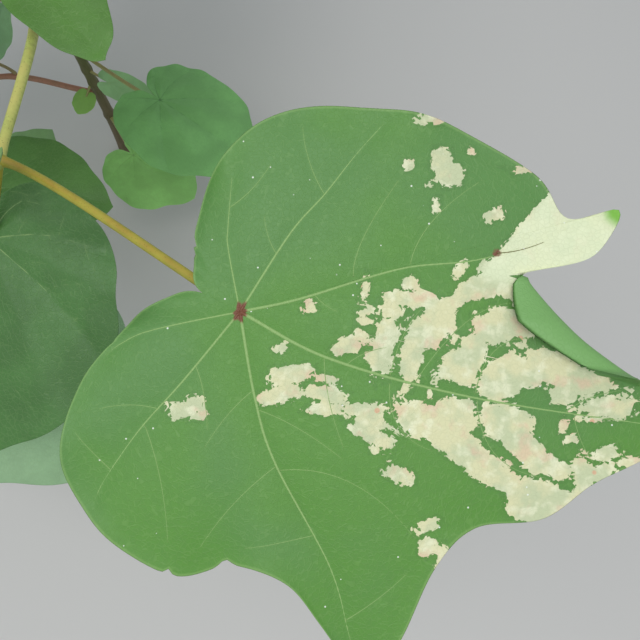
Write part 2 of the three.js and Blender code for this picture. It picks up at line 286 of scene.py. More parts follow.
SEEN_LEAVES = records("name limb at base tip roll lobing width droop stalk", [
    ("leaf_scorched", FRONT, 0.992, [111.1, -195.2, 254], [214.1, -220.7, 246.2], 17, 0, 1, 0.03, 1.3),
    ("leaf_heart", STEM, 0.312, [48.8, -37.7, 108.7], [94, -68, 101], -14, 0, 1, 0.1, 1.1),
    ("leaf_low_bright", STEM, 0.13, [22, -38, 57], [57, -61.5, 52], -4, 0.1, 1, 0.12, 0.9),
    ("leaf_curled", STEM, 0.262, [13, -8, 82], [38.5, -18, 82], 48, 0, 0.5, 0.12, 0.7),
    ("leaflet_axil", STEM, 0.225, [-4.4, -6, 68], [-10, -16, 65], 0, 0, 1, 0.1, 0.6),
    ("leaf_fork", FRONT, 0.46, [32.7, -65, 244], [67, -113.2, 236], 10, 0, 0.43, 0.1, 1),
    ("leaf_left_near", FRONT, 0.975, [27.4, -156.9, 208.2], [18.5, -221.5, 181], 0, 0, 1, 0.08, 1.2),
    ("leaf_far_left", LEFT, 0.2, [-58, 0, 99], [-68, 40, 106], 0, 0.2, 1, 0.1, 0.9),
    ("leaf_left_small", LEFT, 0.42, [-25.5, -71, 92], [-9, -47, 98], 0, 0.1, 1, 0.1, 0.8),
    ("leaf_left_dark", LEFT, 0.62, [-21, -95.4, 127], [35, -102, 122], 0, 0.15, 0.82, 0.08, 1.1),
    ("leaf_left_pale", LEFT, 0.88, [-5.3, -160.6, 160], [38.3, -225.5, 127.6], 0, 0.1, 0.9, 0.08, 1.2),
])
LEAF_RUNS = records("name limb count from to heading turn petiole blade rise lobing", [
    ("crown_leaf", STEM, 7, 0.58, 0.95, 250, 219, (78, 26), (74, 40), (34, 52), (0.9, 0.5)),
    ("low_leaf", STEM, 2, 0.37, 0.49, 106, 64, (70, 66), (66, 70), (26, 30), (0.5, 0.7)),
    ("front_leaf", FRONT, 1, 0.2, 0.2, 224, 0, (56, 56), (62, 62), (28, 28), (0.7, 0.7)),
    ("left_leaf", LEFT, 2, 0.34, 0.74, 166, 34, (50, 46), (58, 56), (34, 36), (0.6, 0.6)),
    ("back_leaf", BACK, 3, 0.36, 0.86, 52, 150, (52, 40), (64, 52), (16, 46), (0.8, 0.6)),
    ("right_leaf", RIGHT, 3, 0.4, 0.88, -38, 112, (46, 38), (62, 50), (30, 36), (0.8, 0.6)),
])
RUN_DROOP_ANGLE = 14
RUN_DROOP = 0.13
RUN_STALK_SHARE = 0.0145


def run_leaves(run):
    """The leaves of a run: along it every size passes evenly from its first value to its last."""
    leaves = []
    for i in range(run["count"]):
        share = i / max(1, run["count"] - 1)
        names = ("petiole", "blade", "rise", "lobing")
        petiole, blade, rise, lobing = (between(run[key], share) for key in names)
        at = between((run["from"], run["to"]), share)
        heading = run["heading"] + run["turn"] * i
        base = LIMBS[run["limb"]]["line"](at) + headed(heading, rise) * petiole
        leaves.append({
            "name": f"{run['name']}_{i + 1}", "limb": run["limb"], "at": at, "base": base,
            "tip": base + headed(heading, -RUN_DROOP_ANGLE) * blade, "roll": 0, "lobing": lobing,
            "width": 1, "droop": RUN_DROOP, "stalk": blade * RUN_STALK_SHARE,
        })
    return leaves


RUN_LEAVES = [leaf for run in LEAF_RUNS for leaf in run_leaves(run)]
for leaf in SEEN_LEAVES + RUN_LEAVES:
    LIMBS[leaf["limb"]]["nodes"].append(leaf["at"])
print(len(SEEN_LEAVES), "leaves placed one by one and", len(RUN_LEAVES), "in runs")

# %% [markdown]
# A tube is a ring carried along a line. Its radius may change along the line and round the ring, and
# that is all the relief of the bark: nothing is painted that the shape can show. Both ends are closed to
# a point on the line. The same function makes the stem, the boughs and the leaf stalks.

# %% Tube


def tube_faces(tubes, rings, sides):
    """Faces of closed tubes. All ring points come first, then the foot's middles, then the tips'."""
    index = np.arange(tubes * rings * sides).reshape(tubes, rings, sides)
    turned = np.roll(index, -1, axis=2)
    quads = np.stack([index[:, :-1], turned[:, :-1], turned[:, 1:], index[:, 1:]], axis=-1)
    first = index.size + np.arange(tubes)[:, None] + np.zeros(sides, int)
    foot = np.stack([first, turned[:, 0], index[:, 0]], axis=-1)
    tip = np.stack([first + tubes, index[:, -1], turned[:, -1]], axis=-1)
    return {"quads": quads.reshape(-1, 4), "tris": np.concatenate([foot, tip]).reshape(-1, 3)}


def tube(line, steps, sides, radius):
    """Ring point = centre + radius(share, angle) * (cos angle * side + sin angle * up), where side and up
    are square to the line. The part's value "upper" is how far each point faces the sky."""
    share = np.linspace(0, 1, steps + 1)
    angle = np.linspace(0, 2 * np.pi, sides, endpoint=False)
    centre = line(share)
    along = unit(np.gradient(centre, axis=0))
    steady = np.eye(3)[np.argmin(np.abs(along).mean(0))]
    side = unit(np.cross(along, steady))
    up = np.cross(along, side)
    out = np.cos(angle)[None, :, None] * side[:, None] + np.sin(angle)[None, :, None] * up[:, None]
    ring = centre[:, None] + radius(share[:, None], angle[None, :])[..., None] * out
    points = np.concatenate([ring.reshape(-1, 3), centre[:1], centre[-1:]])
    upper = np.concatenate([out[..., 2].ravel(), [0, 0]])
    return {"points": points, "values": {"upper": upper}, **tube_faces(1, steps + 1, sides)}


def even_radius(radii):
    """A radius that is the same all round and passes evenly from the foot's to the tip's."""
    return lambda share, angle: between(radii, share) + 0 * angle


# %% [markdown]
# A finished piece is one mesh made of many parts. The points go into the mesh as one long array, which
# is quick even for a hundred thousand of them, and each named value, such as how far a point lies from a
# vein, becomes an attribute that the piece's material can read.

# %% Pieces


def grow_piece(name, parts, material, stands_for):
    """Joins the parts into one smooth mesh in metres, with their values as attributes, and hides the CAD
    nodes that it stands for."""
    starts = np.cumsum([0] + [len(p["points"]) for p in parts])
    points = np.concatenate([p["points"] for p in parts]) * MM
    quads = np.concatenate([p["quads"] + s for p, s in zip(parts, starts)])
    tris = np.concatenate([p["tris"] + s for p, s in zip(parts, starts)])
    mesh = bpy.data.meshes.new(name)
    mesh.vertices.add(len(points))
    mesh.vertices.foreach_set("co", points.ravel())
    corners = np.concatenate([quads.ravel(), tris.ravel()])
    mesh.loops.add(len(corners))
    mesh.loops.foreach_set("vertex_index", corners)
    sizes = np.concatenate([np.full(len(quads), 4), np.full(len(tris), 3)])
    mesh.polygons.add(len(sizes))
    mesh.polygons.foreach_set("loop_start", np.concatenate([[0], np.cumsum(sizes)[:-1]]))
    mesh.update(calc_edges=True)
    mesh.shade_smooth()
    for key in parts[0]["values"]:
        values = np.concatenate([p["values"][key] for p in parts]).astype(np.float32)
        mesh.attributes.new(key, "FLOAT", "POINT").data.foreach_set("value", values)
    mesh.materials.append(material)
    piece = add_object(name, mesh)
    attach(piece, "root")
    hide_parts(*stands_for)
    print(f"{name}: {2 * len(quads) + len(tris)} triangles")


# %% [markdown]
# A material is a sum of simple patterns. Written as plain arithmetic, it can be read like a recipe: one
# class stands for a number that changes over the surface, and adding or multiplying two of them adds the
# Math nodes. A second class holds the material and makes every other node.

# %% Paint


class Varying:
    """An output socket, for a number or a colour that changes over the surface."""

    def __init__(self, paint, socket):
        self.paint, self.socket = paint, socket

    def _math(self, operation, first, second):
        return self.paint.node("ShaderNodeMath", {"operation": operation}, {0: first, 1: second})

    def __add__(self, other):
        return self._math("ADD", self, other)

    def __radd__(self, other):
        return self._math("ADD", other, self)

    def __sub__(self, other):
        return self._math("SUBTRACT", self, other)

    def __rsub__(self, other):
        return self._math("SUBTRACT", other, self)

    def __mul__(self, other):
        return self._math("MULTIPLY", self, other)

    def __rmul__(self, other):
        return self._math("MULTIPLY", other, self)

    def between(self, low, high):
        """0 up to low, 1 from high on, and smooth between the two."""
        settings = {"interpolation_type": "SMOOTHSTEP"}
        inputs = {0: self, 1: low, 2: high, 3: 0.0, 4: 1.0}
        return self.paint.node("ShaderNodeMapRange", settings, inputs)


class Paint:
    """One material. Its principled shader keeps what is the same all over, here how much it mirrors."""

    def __init__(self, name, mirroring):
        self.material, self.shader = new_material(name)
        self.tree = self.material.node_tree
        self.shader.inputs["Specular IOR Level"].default_value = mirroring

    def node(self, kind, settings, inputs, output=0):
        """Any node: its type, its settings, the values or links of its sockets, and the output to use."""
        made = self.tree.nodes.new(kind)
        for key, value in settings.items():
            setattr(made, key, value)
        for key, value in inputs.items():
            self.feed(made.inputs[key], value)
        return Varying(self, made.outputs[output])

    def feed(self, socket, value):
        if isinstance(value, Varying):
            self.tree.links.new(value.socket, socket)
        else:
            socket.default_value = value

    def value(self, name):
        """A value that the mesh keeps for each of its points."""
        return self.node("ShaderNodeAttribute", {"attribute_name": name}, {}, "Fac")

    def place(self):
        return self.node("ShaderNodeTexCoord", {}, {}, "Object")

    def along(self, axis):
        """The place along one axis of the object, in metres."""
        return self.node("ShaderNodeSeparateXYZ", {}, {0: self.place()}, axis)

    def noise(self, size, detail=3.0, stretch=None):
        """Soft clouds from 0 to 1. The size is in millimetres, and a stretch under 1 lengthens them."""
        place = self.place()
        if stretch:
            place = self.node("ShaderNodeMapping", {}, {"Vector": place, "Scale": stretch})
        inputs = {"Vector": place, "Scale": 1 / (size * MM), "Detail": detail}
        return self.node("ShaderNodeTexNoise", {}, inputs)

    def cells(self, size, what="edge"):
        """A net of cells of a size in millimetres: the distance to a cell's edge or to its middle, or a
        number of its own for each cell."""
        feature = "DISTANCE_TO_EDGE" if what == "edge" else "F1"
        inputs = {"Vector": self.place(), "Scale": 1 / (size * MM)}
        output = "Color" if what == "number" else "Distance"
        found = self.node("ShaderNodeTexVoronoi", {"feature": feature}, inputs, output)
        return self.node("ShaderNodeSeparateXYZ", {}, {0: found}, 0) if what == "number" else found

    def mix(self, factor, first, second):
        """The first colour where the factor is 0, and the second where it is 1."""
        colours = {i: c if isinstance(c, Varying) else (*c, 1) for i, c in ((6, first), (7, second))}
        return self.node("ShaderNodeMix", {"data_type": "RGBA"}, {0: factor, **colours}, 2)

    def layers(self, colour, *laid):
        """Colours laid over a first one in turn, each as far as its factor says."""
        for factor, other in laid:
            colour = self.mix(factor, colour, other)
        return colour

    def finish(self, colour, roughness, relief, depth):
        """Feeds the shader. The relief is a height from 0 to 1 and the depth its size in millimetres."""
        bump = self.node("ShaderNodeBump", {}, {"Height": relief, "Distance": depth * MM})
        for key, value in (("Base Color", colour), ("Roughness", roughness), ("Normal", bump)):
            self.feed(self.shader.inputs[key], value)
        return self.material


def shade(colour, amount):
    """A colour made lighter or darker by a factor."""
    return tuple(c * amount for c in colour)


def toward(colour, other, share):
    """A colour that has gone a share of the way to another."""
    return tuple((1 - share) * c + share * o for c, o in zip(colour, other))


# %% [markdown]
# The stem and boughs of a young cotton plant are smooth and green, with fine lengthwise ridges, a
# swelling at each node, tiny dark oil glands, and brown bark creeping up from the ground. The ridges
# could be a bump map, but seen from close by the outline gives that away, so they are in the mesh.

# %% Bark
GLAND_EDGE = (0.12, 0.2)
NODE_SWELLING = 0.16
NODE_LENGTH = 2.6
RIDGES, RIDGE_COUNTS, RIDGE_DRIFT = 9, (3, 11), 0.05
BANDS, BAND_PACE = 5, (0.2, 1.1)
RIDGE_DEPTH = 0.014
WAVE_SHARE, BAND_SHARE = 2.2, 0.5
ROOT_LOBES = 5
ROOT_LOBE_DEPTH = 0.14
ROOT_LOBE_HEIGHT = 9
BARK_SPACING = 0.85
STEM_SIDES, BRANCH_SIDES = 40, 28
INTO_STEM = 2.2


def bark_radius(limb, seed):
    """The limb's radius times 1 + ridges + node swellings + root lobes. A ridge is a cosine of the angle
    that drifts along the limb, and a swelling is a bell of the distance to its node."""
    chance = np.random.default_rng(seed)
    ridges = chance.integers(*RIDGE_COUNTS, RIDGES)
    drift = chance.uniform(-RIDGE_DRIFT, RIDGE_DRIFT, RIDGES)
    phase = chance.uniform(0, 2 * np.pi, RIDGES)
    rings = chance.uniform(*BAND_PACE, BANDS)

    def radius(share, angle):
        travelled = share * limb["length"]
        height = limb["line"](share[:, 0])[:, 2][:, None]
        waves = np.cos(ridges * angle[..., None] + drift * travelled[..., None] + phase).mean(-1)
        bands = np.sin(rings * travelled[..., None] + phase[:BANDS]).mean(-1)
        away = (travelled[..., None] - np.array(limb["nodes"]) * limb["length"]) / NODE_LENGTH
        swelling = NODE_SWELLING * np.exp(-(away**2)).max(-1)
        lobes = 0.0
        if "flare" in limb:
            lobes = ROOT_LOBE_DEPTH * np.cos(ROOT_LOBES * angle + 1) * np.exp(-height / ROOT_LOBE_HEIGHT)
        relief = 1 + RIDGE_DEPTH * (WAVE_SHARE * waves + BAND_SHARE * bands) + swelling + lobes
        return limb_radius(limb, share, height) * relief

    return radius


def glands(paint, spacing):
    """1 in small round dots, one in the middle of each cell, and 0 elsewhere."""
    return 1 - paint.cells(spacing, "middle").between(*GLAND_EDGE)


def bark_paint(name, low, high, sunny):
    """Brown near the ground and green above, red where the sun strikes, with dark gland dots."""
    paint = Paint(name, mirroring=0.4)
    rise = (paint.along("Z") + 0.02 * paint.noise(9)).between(0.02, 0.16)
    streaks = paint.noise(1.2, 4.0, stretch=(1, 1, 0.12))
    lit = paint.value("upper").between(-0.1, 0.9) * paint.noise(14).between(0.3, 0.6)
    colour = paint.layers(
        low, (rise, high), (streaks.between(0.3, 0.75) * 0.55, shade(high, 0.55)), (lit, sunny),
        (glands(paint, 0.9) * 0.6, shade(low, 0.3)),
    )
    return paint.finish(colour, 0.42 + 0.2 * streaks, streaks, 0.12)


bark_looks = {
    "main_stem": ((0.17, 0.12, 0.07), (0.13, 0.16, 0.045), (0.17, 0.14, 0.06)),
    "front_branch": ((0.3, 0.32, 0.08), (0.5, 0.56, 0.14), (0.57, 0.52, 0.15)),
    "left_branch": ((0.4, 0.2, 0.13), (0.44, 0.25, 0.15), (0.47, 0.21, 0.14)),
    "back_branch": ((0.2, 0.2, 0.06), (0.2, 0.27, 0.08), (0.3, 0.17, 0.08)),
    "right_branch": ((0.2, 0.2, 0.06), (0.2, 0.27, 0.08), (0.32, 0.17, 0.08)),
}


def rooted_line(limb):
    """A branch's line with its foot let into the stem: the first stretch starts further in."""
    line, sunk = limb["line"], INTO_STEM / limb["length"]
    start = line(0) - direction(line, 0) * INTO_STEM
    return lambda share: start + (line(share) - start) * np.clip(share / sunk, 0, 1)[..., None]


for seed, (limb_name, limb) in enumerate(LIMBS.items()):
    is_stem = limb_name == STEM
    line = limb["line"] if is_stem else rooted_line(limb)
    steps = int(limb["length"] / BARK_SPACING)
    part = tube(line, steps, STEM_SIDES if is_stem else BRANCH_SIDES, bark_radius(limb, seed))
    material = bark_paint(limb_name + "_bark_paint", *bark_looks[limb_name])
    grow_piece(limb_name + "_bark", [part], material, [limb_name])

# %% [markdown]
# The rule that sets a leaf: its blade lies in a plane that holds the midrib and is turned about it, and
# its stalk leaves the limb, bends over and meets the blade from below. It is the CAD model's rule, so
# nothing here has to be fitted by eye.

# %% Leaf frames
PETIOLE_LEAN = 1.5
PETIOLE_LEAVE = 0.16
PETIOLE_ARRIVE = 0.3
PETIOLE_SAG = 0.07
PETIOLE_SINK = 1.6
UNDER_BLADE = 1.15
LENGTHWISE_DROOP = 0.7
STALK_SIDES, STALK_SPACING, LEAST_STEPS = 14, 1.2, 12
STALK_SLIMNESS = 0.94
STALK_FOOT, STALK_FOOT_LENGTH = 0.45, 2.2
STALK_HEAD, STALK_HEAD_LENGTH = 0.14, 3.2
STALK_RIBS, STALK_RIB_DEPTH, STALK_TWIST = 4, 0.025, 3


def leaf_frame(base, tip, roll):
    """Base, and three unit directions: along the midrib, to the left, and up off the blade. Up is the
    world's up made square to the midrib, then turned about the midrib by the roll."""
    base, tip = np.array(base, float), np.array(tip, float)
    along = unit(tip - base)
    up = unit(np.array([0, 0, 1.0]) - along * along[2])
    turn = np.radians(roll)
    up = up * np.cos(turn) + np.cross(along, up) * np.sin(turn)
    return base, along, np.cross(up, along), up


def set_in_frame(points, place):
    """Blade coordinates to the plant's: base + x * along + y * left + z * up."""
    base, along, left, up = place
    return base + points[..., :1] * along + points[..., 1:2] * left + points[..., 2:3] * up


def stalk_part(leaf):
    """The leaf stalk: a tube on a cubic Bezier, let into its limb, swollen at both of its ends."""
    place = leaf_frame(leaf["base"], leaf["tip"], leaf["roll"])
    base, along, _, up = place
    start, outward = seat_on(LIMBS[leaf["limb"]], leaf["at"], base, leaf["stalk"], PETIOLE_LEAN)
    reach = np.linalg.norm(base - start)
    leave = start + outward * reach * PETIOLE_LEAVE
    arrive = base + (start - base) * PETIOLE_ARRIVE - up * reach * PETIOLE_SAG
    under = base + along * PETIOLE_SINK - up * leaf["stalk"] * UNDER_BLADE
    line, length = by_length(bezier(start - outward * leaf["stalk"], leave, arrive, under))

    def radius(share, angle):
        foot = STALK_FOOT * np.exp(-share * length / STALK_FOOT_LENGTH)
        head = STALK_HEAD * np.exp(-(1 - share) * length / STALK_HEAD_LENGTH)
        ribs = STALK_RIB_DEPTH * np.cos(STALK_RIBS * angle + share * STALK_TWIST)
        return leaf["stalk"] * (STALK_SLIMNESS + foot + head + ribs)

    return tube(line, max(LEAST_STEPS, int(length / STALK_SPACING)), STALK_SIDES, radius)


def stalk_paint(name, green, red):
    """Yellow-green flanks and a red upper side, as the sun colours it, with fine dark glands."""
    paint = Paint(name, mirroring=0.45)
    cloud = paint.noise(5)
    streak = paint.noise(1.4, 2.0, stretch=(0.35, 0.35, 0.35))
    sunny = (paint.value("upper") + 0.7 * cloud + 0.3 * streak).between(1.15, 1.65)
    colour = paint.layers(
        green, (cloud.between(0.35, 0.65), shade(green, 0.85)), (sunny * 0.5, red),
        (glands(paint, 0.75) * 0.5, shade(green, 0.3)),
    )
    fine = paint.noise(0.5, 2.0, stretch=(1, 1, 0.3))
    return paint.finish(colour, 0.35 + 0.2 * fine, fine, 0.06)


stalk_looks = {
    "main_stem": ((0.36, 0.36, 0.12), (0.44, 0.27, 0.14)),
    "front_branch": ((0.4, 0.36, 0.045), (0.43, 0.22, 0.035)),
    "left_branch": ((0.34, 0.27, 0.12), (0.38, 0.17, 0.1)),
    "back_branch": ((0.28, 0.33, 0.08), (0.34, 0.18, 0.07)),
    "right_branch": ((0.28, 0.33, 0.08), (0.35, 0.18, 0.07)),
}
for limb_name in LIMBS:
    borne = [leaf for leaf in SEEN_LEAVES + RUN_LEAVES if leaf["limb"] == limb_name]
    material = stalk_paint(limb_name + "_stalk_paint", *stalk_looks[limb_name])
    names = [leaf["name"] for leaf in borne]
    stalks = [stalk_part(leaf) for leaf in borne]
    grow_piece(limb_name + "_leaf_stalks", stalks, material, names)

# %% [markdown]
# A blade's outline is a smooth curve from corner to corner, and its corners are the tip, the lobes' tips
# and the notch at the stalk. Its surface could be a flat plane with a picture on it. Here it is a closed
# sheet on rings about the stalk, top and underside, which gives every leaf a real edge and a real
# underside.

# %% Blade
BLADE_ANGLES = [0, 10, 24, 38, 50, 62, 84, 110, 140, 162, 172]
HEART_REACH = [1, 0.95, 0.88, 0.82, 0.75, 0.68, 0.57, 0.47, 0.34, 0.21, 0.09]
LOBED_REACH = [1, 0.82, 0.64, 0.66, 0.88, 0.69, 0.58, 0.52, 0.4, 0.27, 0.09]
SLIT_REACH = 0.05
LOBE_PLACE = 4
LEAST_LOBED = 0.3
BLADE_THICKNESS = 0.34


def polar(angle, reach):
    """Places at an angle in degrees and a reach: reach * (cos angle, sin angle)."""
    turn = np.radians(angle)
    return np.stack([np.cos(turn) * reach, np.sin(turn) * reach], axis=-1)


def common_knots(lobing):
    """The outline's knots from the notch round to the notch, and which of them are corners."""
    reach = np.array(HEART_REACH) * (1 - lobing) + np.array(LOBED_REACH) * lobing
    angle = np.array(BLADE_ANGLES, float)
    angles = np.concatenate([[-180], -angle[:0:-1], angle, [180]])
    reaches = np.concatenate([[SLIT_REACH], reach[:0:-1], reach, [SLIT_REACH]])
    middle = len(angle)
    lobes = [middle - LOBE_PLACE, middle + LOBE_PLACE] if lobing > LEAST_LOBED else []
    return polar(angles, reaches), sorted([0, middle, len(angles) - 1, *lobes])


def rim_line(knots, corners, spacing):
    """The closed outline: between two corners it is one smooth line, cut into steps of about the
    spacing."""
    runs = []
    for a, b in zip(corners[:-1], corners[1:]):
        line, length = by_length(smooth_line(knots[a:b + 1]))
        count = max(3, int(np.ceil(length / spacing)))
        runs.append(line(np.linspace(0, 1, count, endpoint=False)))
    return np.concatenate(runs)


def ordered(top, below):
    """One row for each point of a shell: the top's middle, its rings, the rings below it but for the rim,
    and the middle below."""
    rest = top.shape[2:]
    rows = [top[:1, 0], top[1:].reshape(-1, *rest), below[1:-1].reshape(-1, *rest), below[:1, 0]]
    return np.concatenate(rows)


def shell(top_rings, below_rings):
    """A closed sheet from its top's rings and its underside's: one row for each point, the faces, and a
    value that is 1 below. The faces are quads between the rings and a fan of triangles at each middle."""
    (rings, columns), rings_below = top_rings.shape[:2], len(below_rings) - 1
    rings -= 1
    under = ordered(np.zeros(top_rings.shape[:2]), np.ones(below_rings.shape[:2]))
    top = 1 + np.arange(rings * columns).reshape(rings, columns)
    below = top.max() + 1 + np.arange((rings_below - 1) * columns).reshape(rings_below - 1, columns)
    below = np.vstack([below, top[-1:]])
    top_next, below_next = np.roll(top, -1, axis=1), np.roll(below, -1, axis=1)
    upward = np.stack([top[:-1], top[1:], top_next[1:], top_next[:-1]], axis=-1)
    downward = np.stack([below[:-1], below_next[:-1], below_next[1:], below[1:]], axis=-1)
    middle_below = 1 + rings * columns + (rings_below - 1) * columns
    fan = np.stack([np.zeros(columns, int), top[0], top_next[0]], axis=-1)
    fan_below = np.stack([np.full(columns, middle_below), below_next[0], below[0]], axis=-1)
    quads = np.concatenate([upward.reshape(-1, 4), downward.reshape(-1, 4)])
    return ordered(top_rings, below_rings), quads, np.concatenate([fan, fan_below]), under


def bearing_of(p):
    """The angle off the midrib of each place on a blade, in degrees."""
    return np.degrees(np.arctan2(p[..., 1], p[..., 0]))


def reach_of(rim):
    """The outline's reach as a function of the angle in degrees."""
    angle = bearing_of(rim)
    order = np.argsort(angle)
    return lambda a: np.interp(a, angle[order], np.linalg.norm(rim, axis=1)[order], period=360)


# %% [markdown]
# A cotton leaf has a main vein in each lobe, all from the stalk, and side veins that leave them at a
# steep angle, bend forward and fade before the margin. Each vein is a slim half-sunk ridge that follows
# the blade, and between the veins the blade is puffed up a little, which makes the light play on it.

# %% Veins
SIDE_ANGLE = 50
SIDE_SECTOR = 0.86
SIDE_FIRST, SIDE_LAST = 0.22, 0.86
SIDE_STEP, SIDE_STAGGER = 0.16, 0.25
LEAST_SLOPE = 0.3
SIDE_BEND, SIDE_BEND_REACH = 0.7, 0.32
VEIN_END = 0.93
VEIN_ABOVE, VEIN_BELOW = 0.34, 0.6
VEIN_FLANK = -0.1
VEIN_SAMPLES, LEAST_SAMPLES, SAMPLE_STEP = 40, 12, 3
LEAST_VEIN_REACH, LEAST_VEIN_LENGTH = 0.12, 0.05
WIDEST_SECTOR, OUTER_SECTOR = 80, 40
CHUNK = 4000


def vein_line(points, count):
    """A vein's places at even steps from its start to its end."""
    line, _ = by_length(smooth_line(points))
    return line(np.linspace(0, 1, count))


def side_veins(mains, reach, count, length):
    """Side veins of every main vein, an even step apart: from a share f of it, to an angle most of the way
    to the next main vein, at the reach where a line at the side angle would meet that direction."""
    found = []
    steep = np.tan(np.radians(SIDE_ANGLE))
    ends = np.array([bearing_of(main[-1]) for main in mains])
    for main, own in zip(mains, ends):
        step = SIDE_STEP * length / np.linalg.norm(main[-1])
        for side in (-1, 1):
            gaps = (ends - own) * side
            near = gaps[gaps > 1].min() if (gaps > 1).any() else OUTER_SECTOR
            spread = np.radians(min(near, WIDEST_SECTOR) / 2 * SIDE_SECTOR)
            scale = steep / max(steep * np.cos(spread) - np.sin(spread), LEAST_SLOPE)
            for f in np.arange(SIDE_FIRST + SIDE_STAGGER * step * (side > 0), SIDE_LAST, step):
                start = main[int(f * (len(main) - 1))]
                r = np.linalg.norm(start)
                if r < LEAST_VEIN_REACH * length:
                    continue
                own_angle = bearing_of(start)
                angle = own_angle + side * np.degrees(spread)
                end = polar(angle, min(r * scale, VEIN_END * reach(angle)))
                bend = own_angle + side * np.degrees(spread) * SIDE_BEND
                middle = polar(bend, r + SIDE_BEND_REACH * (np.linalg.norm(end) - r))
                line = bezier(start, middle, end)(np.linspace(0, 1, VEIN_SAMPLES))
                inside = np.linalg.norm(line, axis=1) < VEIN_END * reach(bearing_of(line))
                kept = VEIN_SAMPLES if inside.all() else int(np.argmin(inside))
                long = np.linalg.norm(line[kept - 1] - start) > LEAST_VEIN_LENGTH * length
                if kept > LEAST_SAMPLES and long:
                    found.append(vein_line(line[:kept:SAMPLE_STEP], count))
    return found


def vein_distance(places, veins):
    """For each place, the distance to the nearest point of the veins."""
    samples = np.concatenate(veins)
    flat = places.reshape(-1, 2)
    nearest = np.empty(len(flat))
    for i in range(0, len(flat), CHUNK):
        gap = flat[i:i + CHUNK, None] - samples[None]
        nearest[i:i + CHUNK] = np.sqrt((gap**2).sum(-1).min(1))
    return nearest.reshape(places.shape[:-1])


def vein_parts(lines, widths, height, place, sides, blade):
    """Tubes let into the blade. Section = width / 2 * cos angle sideways and (half the blade's thickness
    + a share of the width) * sin angle up and down, a low share above the blade and a larger one below.
    Every vein has the same count of points, so all of them are one array. The part also keeps the place
    on the blade of each of its points, and which of them look down."""
    lines = np.array(lines)
    veins, count = lines.shape[:2]
    centre = np.concatenate([lines, height(lines)[..., None]], axis=-1)
    along = unit(np.gradient(centre, axis=1))
    side = unit(np.cross([0, 0, 1.0], along))
    up = np.cross(along, side)
    angle = np.linspace(0, 2 * np.pi, sides, endpoint=False)
    width = between(np.array(widths).T[..., None], np.linspace(0, 1, count))
    rise = width[..., None] * np.where(np.sin(angle) > 0, VEIN_ABOVE, VEIN_BELOW) + blade / 2
    sideways = (width[..., None] / 2 * np.cos(angle))[..., None] * side[:, :, None]
    ring = centre[:, :, None] + sideways + (rise * np.sin(angle))[..., None] * up[:, :, None]
    points = np.concatenate([ring.reshape(-1, 3), centre[:, 0], centre[:, -1]])
    below = np.concatenate([np.tile(np.sin(angle) < VEIN_FLANK, veins * count), np.zeros(2 * veins, bool)])
    flat = np.concatenate([np.repeat(lines.reshape(-1, 2), sides, axis=0), lines[:, 0], lines[:, -1]])
    return {"points": set_in_frame(points, place), "flat": flat, "below": below.astype(float),
            **tube_faces(veins, count, sides)}


# %% [markdown]
# One common leaf: a blade, its veins, and the values that its paint needs. The blade falls along the
# midrib and to both sides as in the CAD model, puffs up between the veins, and waves a little at the
# margin.

# %% Common leaves
MAIN_VEIN_ANGLES = np.array([0, 47, -47, 90, -90, 134, -134])
ANGLE_PLAY = 3
MAIN_VEIN_BOW = (1.03, 1.1)
MAIN_POINTS, SIDE_POINTS = 24, 12
RIPPLES, RIPPLE_DEPTH = (7, 11, 17), 0.008
MARGIN_WAVES, MARGIN_WAVE, MARGIN_STEEPNESS = (5, 8, 13), 0.012, 4
SMALL_PUFF, SMALL_PUFF_LENGTH = 0.006, 0.06
MAIN_FOLD, MAIN_FOLD_LENGTH = 0.022, 0.13
EDGE_SQUARENESS = 24
VEIN_WIDTH = 0.0095
MIDRIB_SHARE, MAIN_VEIN_END = 1.25, 0.3
SIDE_VEIN_SHARES = (0.42, 0.2)
MAIN_VEIN_SIDES, SIDE_VEIN_SIDES = 8, 6
VEIN_STRENGTHS = (1, 0.7)


def puffed(away, height, length):
    """The swelling between veins: height * (1 - exp(-distance / length))."""
    return height * (1 - np.exp(-away / length))


def droop_height(x, y, length, droop):
    """How far a blade falls: with the square of the way along the midrib and of the way aside."""
    return -droop * (x * np.abs(x) * LENGTHWISE_DROOP + y * y) / length


